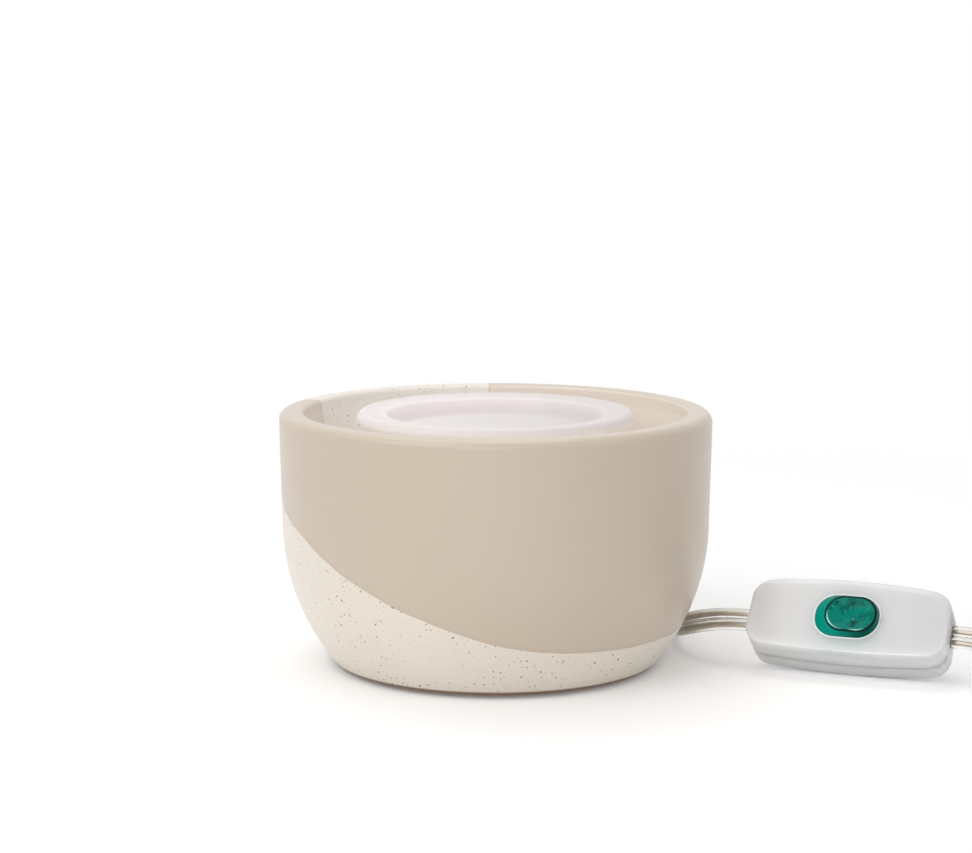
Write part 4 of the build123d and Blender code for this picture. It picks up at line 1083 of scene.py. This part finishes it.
def housing_outline(inset):
    """Points round the housing, drawn in by an inset, from its right end's middle."""
    half_length = switch_length / 2
    half_end = switch_end_width / 2
    sag = switch_width / 2 - half_end
    bow = (half_length ** 2 + sag ** 2) / (2 * sag)
    bow_centre = switch_width / 2 - bow
    round_x = half_length - switch_corner
    round_y = bow_centre + sqrt((bow - switch_corner) ** 2 - round_x ** 2)
    side_angle = atan2(round_y - bow_centre, round_x)
    quarter = []
    for i in range(outline_steps // 4):
        quarter.append((half_length - inset, round_y * i / (outline_steps // 4)))
    for i in range(corner_steps):
        angle = side_angle * i / corner_steps
        reach = switch_corner - inset
        quarter.append((round_x + reach * cos(angle), round_y + reach * sin(angle)))
    for i in range(outline_steps):
        angle = side_angle + (pi / 2 - side_angle) * i / outline_steps
        quarter.append(((bow - inset) * cos(angle), bow_centre + (bow - inset) * sin(angle)))
    top = (0, switch_width / 2 - inset)
    half = quarter + [top] + [(-x, y) for x, y in quarter[:0:-1]]
    return half + [(-x, -y) for x, y in half]


def oblong(half_length, half_width, corner, outline, shift=0.0):
    """Points on a rounded oblong, one for each point of the outline, at its bearing."""
    points = []
    shift += opening_shift
    corner = min(corner, half_width - 0.00001)
    middle = Vector((half_length - corner, half_width - corner))
    for x, y in outline:
        way = Vector((abs(x) * half_length / switch_length * 2,
                      abs(y) * half_width / switch_width * 2))
        way.normalize()
        if way.x * middle.y >= way.y * half_length:
            spot = way * (half_length / way.x)
        elif way.y * middle.x >= way.x * half_width:
            spot = way * (half_width / way.y)
        else:
            ahead = way.dot(middle)
            spot = way * (ahead + sqrt(ahead ** 2 - middle.length_squared + corner ** 2))
        points.append((shift + (spot.x if x >= 0 else -spot.x),
                       (spot.y if y >= 0 else -spot.y) - opening_drop))
    return points


def opening(margin, outline):
    """Points round the button's opening, grown by a margin."""
    return oblong(opening_half_length + margin, opening_half_width + margin,
                  opening_corner + margin, outline)


def swell(x):
    """How far the housing's face stands above its ends, at a place along it."""
    return switch_crown * (1 - (2 * x / switch_length) ** 2)


def ringed(name, loops, closed=False, capped=False):
    """A mesh through loops of points, each a list of places and one or more heights."""
    places = []
    for loop, height in loops:
        for i, (x, y) in enumerate(loop):
            if callable(height):
                places.append((x, y, height(x)))
            else:
                places.append((x, y, height[i] if isinstance(height, list) else height))
    mesh = through_rings(name, places, len(loops), closed, capped)
    crease(mesh, ring_sharp)
    return mesh


def between(one, two, share):
    """A loop that lies a share of the way from one loop to another."""
    return [(a[0] + (b[0] - a[0]) * share, a[1] + (b[1] - a[1]) * share)
            for a, b in zip(one, two)]


def on_face(height):
    """A height that follows the swell of the face along the housing."""
    return lambda x: height + swell(x)


def edge_ring(angle):
    """The housing's outline at an angle up its upper edge, which is crisp on the near side."""
    outer, deepest = housing_outline(0), housing_outline(switch_far_edge)
    ring, heights = [], []
    for (x, y), (deep_x, deep_y) in zip(outer, deepest):
        far = held(0.5 + y / switch_end_width)
        edge = switch_near_edge + (switch_far_edge - switch_near_edge) * far
        share = edge * (1 - cos(angle)) / switch_far_edge
        ring.append((x + (deep_x - x) * share, y + (deep_y - y) * share))
        heights.append(switch_half - edge * (1 - sin(angle)) + swell(x))
    return ring, heights


def face_shell():
    """The upper shell, a closed skin with its wall and the button's beaded opening."""
    outer = housing_outline(0)
    loops = [(outer, height) for height in (shell_seam, *seam_rings)]
    edge_start = len(loops)
    loops += [edge_ring(pi / 2 * i / edge_steps) for i in range(edge_steps + 1)]
    face = loops[-1][0]
    mouth = opening(bead_width, face)
    for share in face_rings:
        loops.append((between(face, mouth, share), on_face(switch_half)))
    bead_start = len(loops)
    for i in range(bead_steps + 1):
        angle = pi * i / bead_steps
        reach = bead_width * (1 + cos(angle)) / 2
        loops.append((opening(reach, face), on_face(switch_half + bead_rise * sin(angle))))
    throat = opening(0, face)
    inner, wall = housing_outline(switch_face_edge), housing_outline(switch_wall)
    low = switch_half - switch_wall
    loops += [(throat, low), (between(inner, throat, 0.5), low), (inner, low),
              (wall, low - (switch_face_edge - switch_wall)), (wall, shell_seam)]
    mesh = ringed("face_shell", loops, closed=True)
    count = len(outer)
    # painted highlight on the near half of the upper edge
    painted_edge_highlight = []
    for vertex in mesh.vertices:
        place, ring = vertex.co, vertex.index // count
        up = ring - edge_start
        on_edge = float(edge_steps // 2 <= up < edge_steps and place.y < 0)
        from_left = held(place.x / painted_edge_highlight_fade + 0.25)
        to_right = max(0.0, (painted_edge_highlight_end - place.x) / painted_edge_highlight_stop)
        painted_edge_highlight.append(on_edge * min(from_left, to_right))
    give_values(mesh, "painted_edge_highlight", painted_edge_highlight)
    into_place(mesh)
    mesh.materials.append(housing_finish)
    mesh.materials.append(bead_painted_highlight)
    for i in range(bead_start * count, (bead_start + bead_steps) * count):
        mesh.polygons[i].material_index = 1
    return mesh


def rear_shell():
    """The lower shell, a closed skin with its wall and a flat back."""
    outer = housing_outline(0)
    low = -switch_half
    back = housing_outline(switch_back_edge)
    centre = [(0.0, 0.0)] * len(back)
    loops = [(between(back, centre, share), low) for share in reversed(back_rings)]
    for i in range(edge_steps + 1):
        angle = pi / 2 * (1 - i / edge_steps)
        inset = switch_back_edge * (1 - cos(angle))
        loops.append((housing_outline(inset),
                      low + switch_back_edge - switch_back_edge * sin(angle)))
    loops += [(outer, -height) for height in reversed((shell_seam, *seam_rings))]
    loops.append((housing_outline(switch_wall), -shell_seam))
    inner_round = switch_back_edge - switch_wall
    floor_height = low + switch_wall
    for i in range(inner_steps + 1):
        angle = pi / 2 * i / inner_steps
        inset = switch_wall + inner_round * (1 - cos(angle))
        loops.append((housing_outline(inset),
                      floor_height + inner_round - inner_round * sin(angle)))
    loops += [(between(back, centre, share), floor_height) for share in back_rings[1:]]
    return into_place(ringed("rear_shell", loops, capped=True))


def housing_material():
    """Milky plastic with a satin skin, with a painted green glow where the button's light reaches,
    painted light on its lower side and left end, and a painted highlight along the face's near
    edge.
    """
    material, shader, colour = patchy(
        "milky housing plastic", (0.72, 0.72, 0.72), (0.745, 0.745, 0.745), 0.34, spread=0.08,
        patch=45, grain=1100, depth=0.000012, IOR=1.5, Subsurface_Weight=0.9,
        Subsurface_Scale=0.006, Subsurface_Radius=(1.0, 1.0, 1.0), Coat_Weight=0.35,
        Coat_Roughness=0.08)
    tree = material.node_tree
    place = object_place(tree)
    lit = switch_centre + switch_out * switch_half - switch_up * glow_below
    away = vector_maths(tree, "DISTANCE", "Value", place, lit)
    colour = blend(tree, smooth_step(tree, away, *glow_reach, glow_strength), colour, painted_green_glow)
    # painted light on the lower side and on the left end, which the bowl shades
    height = vector_maths(tree, "DOT_PRODUCT", "Value", place, switch_out)
    top = switch_centre.dot(switch_out) + switch_half
    side = smooth_step(tree, height, top - painted_light_side_range[0], top - painted_light_side_range[1])
    end = vector_maths(tree, "DOT_PRODUCT", "Value", place, -switch_along)
    middle = -switch_centre.dot(switch_along)
    left = smooth_step(tree, end, middle + painted_light_left_range[0], middle + painted_light_left_range[1], painted_light_left_strength)
    colour = blend(tree, maths(tree, "MAXIMUM", side, left), colour, painted_light_white)
    # painted highlight along the near edge
    colour = blend(tree, point_value(tree, "painted_edge_highlight"), colour, painted_highlight_white)
    feed(tree, shader, {"Base Color": colour})
    return material


housing_finish = housing_material()
# painted highlight: the polished bead round the opening is coloured near white where it catches
# light
bead_painted_highlight = finish("opening bead with painted highlight", (0.95, 0.97, 0.97), (0.93, 0.95, 0.95), 0.14,
                     spread=0.04, patch=60, grain=1100, depth=0.000005, IOR=1.5,
                     Coat_Weight=0.5, Coat_Roughness=0.05)
upper_shell = new_piece("face_shell", face_shell())
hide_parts("switch_face_shell")
lower_shell = new_piece("rear_shell", rear_shell())
lower_shell.data.materials.append(housing_finish)
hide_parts("switch_rear_shell")

# Button. A see-through green cap with a ramped left flank and a hollowed oval top,
# moulded with a flange under the housing that keeps it from falling out.
button_gap = 0.00012
button_rise = 0.0020
button_top_half_length = 0.0075
button_top_half_width = 0.0056
button_top_corner = 0.0055
button_top_shift = 0.0014
button_round = 0.00035
button_hollow = 0.0005
button_flange = 0.0008
button_flange_height = 0.0010
button_play = 0.00002
flank_rings = (0.06, 0.3, 0.6, 0.86)
hollow_rings = (0.03, 0.06, 0.10, 0.25, 0.45, 0.65, 0.85, 0.98)
button_round_steps = 4
# where painted shade darkens its flanks and edge, a painted highlight brightens its edge, or
# painted light lifts its left flank: a bearing, and how far from it that fades
painted_shade_far_side = (60, 75)
painted_shade_front = (305, 60)
painted_shade_front_strength = 0.75
painted_highlight_edges = ((215, 45), (290, 20))
painted_light_left = (200, 80)
# painted reflections in its top, dark patches and light glints: scale, detail, where they start and
# are full, and their colour
button_painted_reflections = ((240, 4.0, 0.44, 0.66, (0.0, 0.050, 0.043)),
                 (1400, 2.0, 0.67, 0.73, (0.20, 0.60, 0.52)))
button_painted_light_and_shade = {"painted_light_flank": (0.0, 0.30, 0.225), "painted_shade_line": (0.0, 0.022, 0.020),
                "painted_highlight_line": (0.42, 0.86, 0.80)}


def near(bearing, middle, reach):
    """One at a bearing round the button, down to nothing at a reach from it."""
    return max(0.0, 1 - abs(bearing - middle) / reach)


def button_mesh():
    """The button, from its flange up its collar and flanks to the hollowed top."""
    rim = housing_outline(switch_face_edge)
    centre = [(0.0, 0.0)] * len(rim)
    low = switch_half - switch_wall - button_flange_height
    ledge = switch_half - switch_wall - button_play
    face = switch_half + switch_crown
    flange, collar = opening(button_flange, rim), opening(-button_gap, rim)
    base = (opening_half_length - button_gap, opening_half_width - button_gap,
            opening_corner - button_gap)
    crown = (button_top_half_length, button_top_half_width, button_top_corner)
    loops = [(between(flange, centre, 0.97), low), (flange, low), (flange, ledge),
             (collar, ledge), (collar, face - 0.0003), (collar, face)]
    top = face + button_rise
    for share in flank_rings:
        sizes = [a + (b - a) * share for a, b in zip(base, crown)]
        loops.append((oblong(*sizes, rim, button_top_shift * share), face + button_rise * share))
    for i in range(button_round_steps + 1):
        angle = pi / 2 * i / button_round_steps
        inset = button_round * (1 - cos(angle)) - button_round * 0.15 * cos(angle)
        sizes = [size - inset for size in crown]
        loops.append((oblong(*sizes, rim, button_top_shift), top - button_round * (1 - sin(angle))))
    flat = loops[-1][0]
    middle = [(button_top_shift + opening_shift, -opening_drop)] * len(rim)
    line_end = len(loops)
    for share in hollow_rings:
        depth = button_hollow * (1 - (1 - share) ** 2)
        loops.append((between(flat, middle, share), top - depth))
    mesh = ringed("green_button", loops, capped=True)
    values = {"painted_shade_line": [], "painted_highlight_line": [], "on_top": [], "painted_light_flank": []}
    for vertex in mesh.vertices:
        ring, place = vertex.index // len(rim), vertex.co
        bearing = degrees(atan2((place.y + opening_drop) / button_top_half_width,
                                (place.x - button_top_shift) / button_top_half_length)) % 360
        # painted shade on the far side and in front, painted highlights at the near edge, painted
        # light on the left flank
        on_flank = float(5 < ring < line_end)
        far_side = near((bearing - painted_shade_far_side[0] + 180) % 360, 180, painted_shade_far_side[1])
        in_front = painted_shade_front_strength * near(bearing, *painted_shade_front)
        on_round = float(line_end - 4 <= ring < line_end + 1)
        near_left = max(near(bearing, *edge) for edge in painted_highlight_edges)
        values["painted_shade_line"].append(max(on_round, far_side * on_flank, in_front * on_flank))
        values["painted_highlight_line"].append(near_left * float(line_end <= ring <= line_end + 1))
        values["on_top"].append(float(ring > line_end + 1))
        values["painted_light_flank"].append(held(2 * near(bearing, *painted_light_left))
                                   * float(3 < ring < line_end - 4))
    for name, numbers in values.items():
        give_values(mesh, name, numbers)
    return into_place(mesh)


def button_material():
    """Deep clear green, with painted shade along the top's edge and flanks, painted highlights on
    its near edge, painted light on its left flank and painted reflections mottling its thumb
    hollow.
    """
    material, shader, colour = patchy(
        "clear green plastic", (0.0004, 0.165, 0.120), (0.001, 0.25, 0.19), 0.10, spread=0.05,
        patch=260, grain=600, depth=0.00006, IOR=1.5, Specular_IOR_Level=0.06)
    tree = material.node_tree
    # painted reflections: dark patches and light glints on the top
    for scale, detail, low, high, tone in button_painted_reflections:
        cloud = smooth_step(tree, noise(tree, scale, detail), low, high)
        mottle = maths(tree, "MULTIPLY", cloud, point_value(tree, "on_top"))
        colour = blend(tree, mottle, colour, tone)
    # painted shade, painted highlights and painted light
    for name, tone in button_painted_light_and_shade.items():
        colour = blend(tree, point_value(tree, name), colour, tone)
    feed(tree, shader, {"Base Color": colour})
    return material


button = new_piece("green_button", button_mesh(), "push_button")
button.data.materials.append(button_material())
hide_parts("button")

# Bushing. Soft milky rubber that lines the lead's way through the bowl's back wall,
# with a collar outside, a flange inside and a tapered, grooved strain relief.
bushing_finish = finish("milky soft rubber", (0.70, 0.68, 0.63), (0.74, 0.72, 0.67), 0.42,
                        patch=80, grain=1000, Subsurface_Weight=0.3, Subsurface_Scale=0.003)
moulded_sharp = radians(30)


def smooth_copy(name, node):
    """A welded copy of a node's mesh with its round faces shaded smooth."""
    mesh = nodes[node].data.copy()
    mesh.name = name
    build = bmesh.new()
    build.from_mesh(mesh)
    bmesh.ops.remove_doubles(build, verts=build.verts, dist=weld_distance)
    for face in build.faces:
        face.smooth = True
    build.to_mesh(mesh)
    build.free()
    crease(mesh, moulded_sharp)
    mesh.materials.clear()
    piece = new_piece(name, mesh)
    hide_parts(node)
    return piece


bushing = smooth_copy("bushing", "cord_bushing")
bushing.data.materials.append(bushing_finish)

# Plug. A flared two-pin plug moulded on the lead's end, with finger grips in its
# flanks, a grooved relief behind it and two bright blades of different width.


def dress(material, *names):
    """Gives its finish to nodes that are shown as they come from the CAD model."""
    for name in names:
        nodes[name].data.materials.clear()
        nodes[name].data.materials.append(material)


plug = smooth_copy("plug", "plug_body")
plug.data.materials.append(bushing_finish)
dress(finish("bright brass blades", (0.78, 0.72, 0.56), (0.70, 0.63, 0.46), 0.25,
             spread=0.15, patch=150, grain=2000, Metallic=1.0), "plug_blades")

# Metal inside and under the bowl: the turned heating plate, the pressed bracket and
# its posts, and the screws, rivets and crimps that hold them.
dress(finish("turned aluminium", (0.78, 0.78, 0.77), (0.72, 0.72, 0.72), 0.34,
             spread=0.15, patch=120, grain=1800, Metallic=1.0), "heating_plate")
dress(finish("zinc plated steel", (0.62, 0.63, 0.64), (0.55, 0.57, 0.60), 0.38,
             spread=0.2, patch=260, grain=1500, Metallic=1.0),
      "support_bracket", "support_posts", "fuse_clip")
dress(finish("nickel plated screws", (0.70, 0.69, 0.66), (0.64, 0.63, 0.60), 0.24,
             spread=0.15, patch=400, grain=2500, Metallic=1.0),
      "clamp_screws", "heater_terminals", "thermal_fuse", "crimp_sleeves", "cover_screws",
      "cord_clamp_screws", "shell_screws")
dress(finish("resistance ribbon", (0.46, 0.43, 0.40), (0.38, 0.34, 0.30), 0.5,
             spread=0.2, patch=300, grain=2000, Metallic=1.0), "heater_ribbon")

# Heat-proof packing: fibre felt, gasket and pads, layered mica and white steatite beads.
# It lies between the heater and the bracket.
dress(finish("ceramic fibre felt", (0.78, 0.76, 0.71), (0.66, 0.63, 0.57), 0.9,
             patch=500, grain=2500, depth=0.0002),
      "plate_gasket", "insulation_felt", "bracket_pads")
dress(finish("mica sheet", (0.55, 0.47, 0.34), (0.44, 0.36, 0.24), 0.4,
             spread=0.25, patch=350, grain=1500, depth=0.00005),
      "mica_upper_sheet", "mica_lower_sheet")
dress(finish("white steatite", (0.86, 0.84, 0.79), (0.80, 0.78, 0.72), 0.55,
             patch=300, grain=2500, depth=0.00003), "terminal_beads")

# Plastics and rubber under the bowl, the sleeved wires, and what is inside the switch:
# its board, lamp, chips, capacitor, resistor and the ends of the leads.
dress(finish("grained base plastic", (0.36, 0.31, 0.25), (0.33, 0.28, 0.23), 0.55,
             patch=70, grain=2600, depth=0.00006),
      "base_cover", "cord_clamp_bar", "dropper_resistor")
dress(finish("dark foot rubber", (0.035, 0.03, 0.027), (0.05, 0.044, 0.04), 0.75,
             patch=200, grain=1800, depth=0.00005), "rubber_feet")
dress(finish("woven glass sleeve", (0.80, 0.77, 0.70), (0.68, 0.64, 0.56), 0.8,
             patch=900, grain=3000, depth=0.0001), "neutral_wire", "line_wire", "link_wire")
dress(finish("green laminate", (0.05, 0.17, 0.07), (0.04, 0.13, 0.06), 0.4,
             patch=200, grain=2500), "switch_board")
dress(finish("black moulding", (0.02, 0.02, 0.02), (0.035, 0.035, 0.035), 0.45,
             patch=200, grain=2500), "push_switch", "timer_chip", "triac")
dress(finish("dipped red-brown case", (0.36, 0.07, 0.02), (0.28, 0.05, 0.015), 0.25,
             patch=200, grain=900), "film_capacitor")
dress(finish("clear lamp lens", (0.9, 0.98, 0.93), (0.85, 0.95, 0.9), 0.08,
             patch=200, grain=900, Transmission_Weight=0.9, IOR=1.5), "indicator_led")
dress(housing_finish, "switch_plunger")
dress(clear_sleeve, "inner_lead", "switch_lead_ends")
dress(strands, "switch_core_tails")
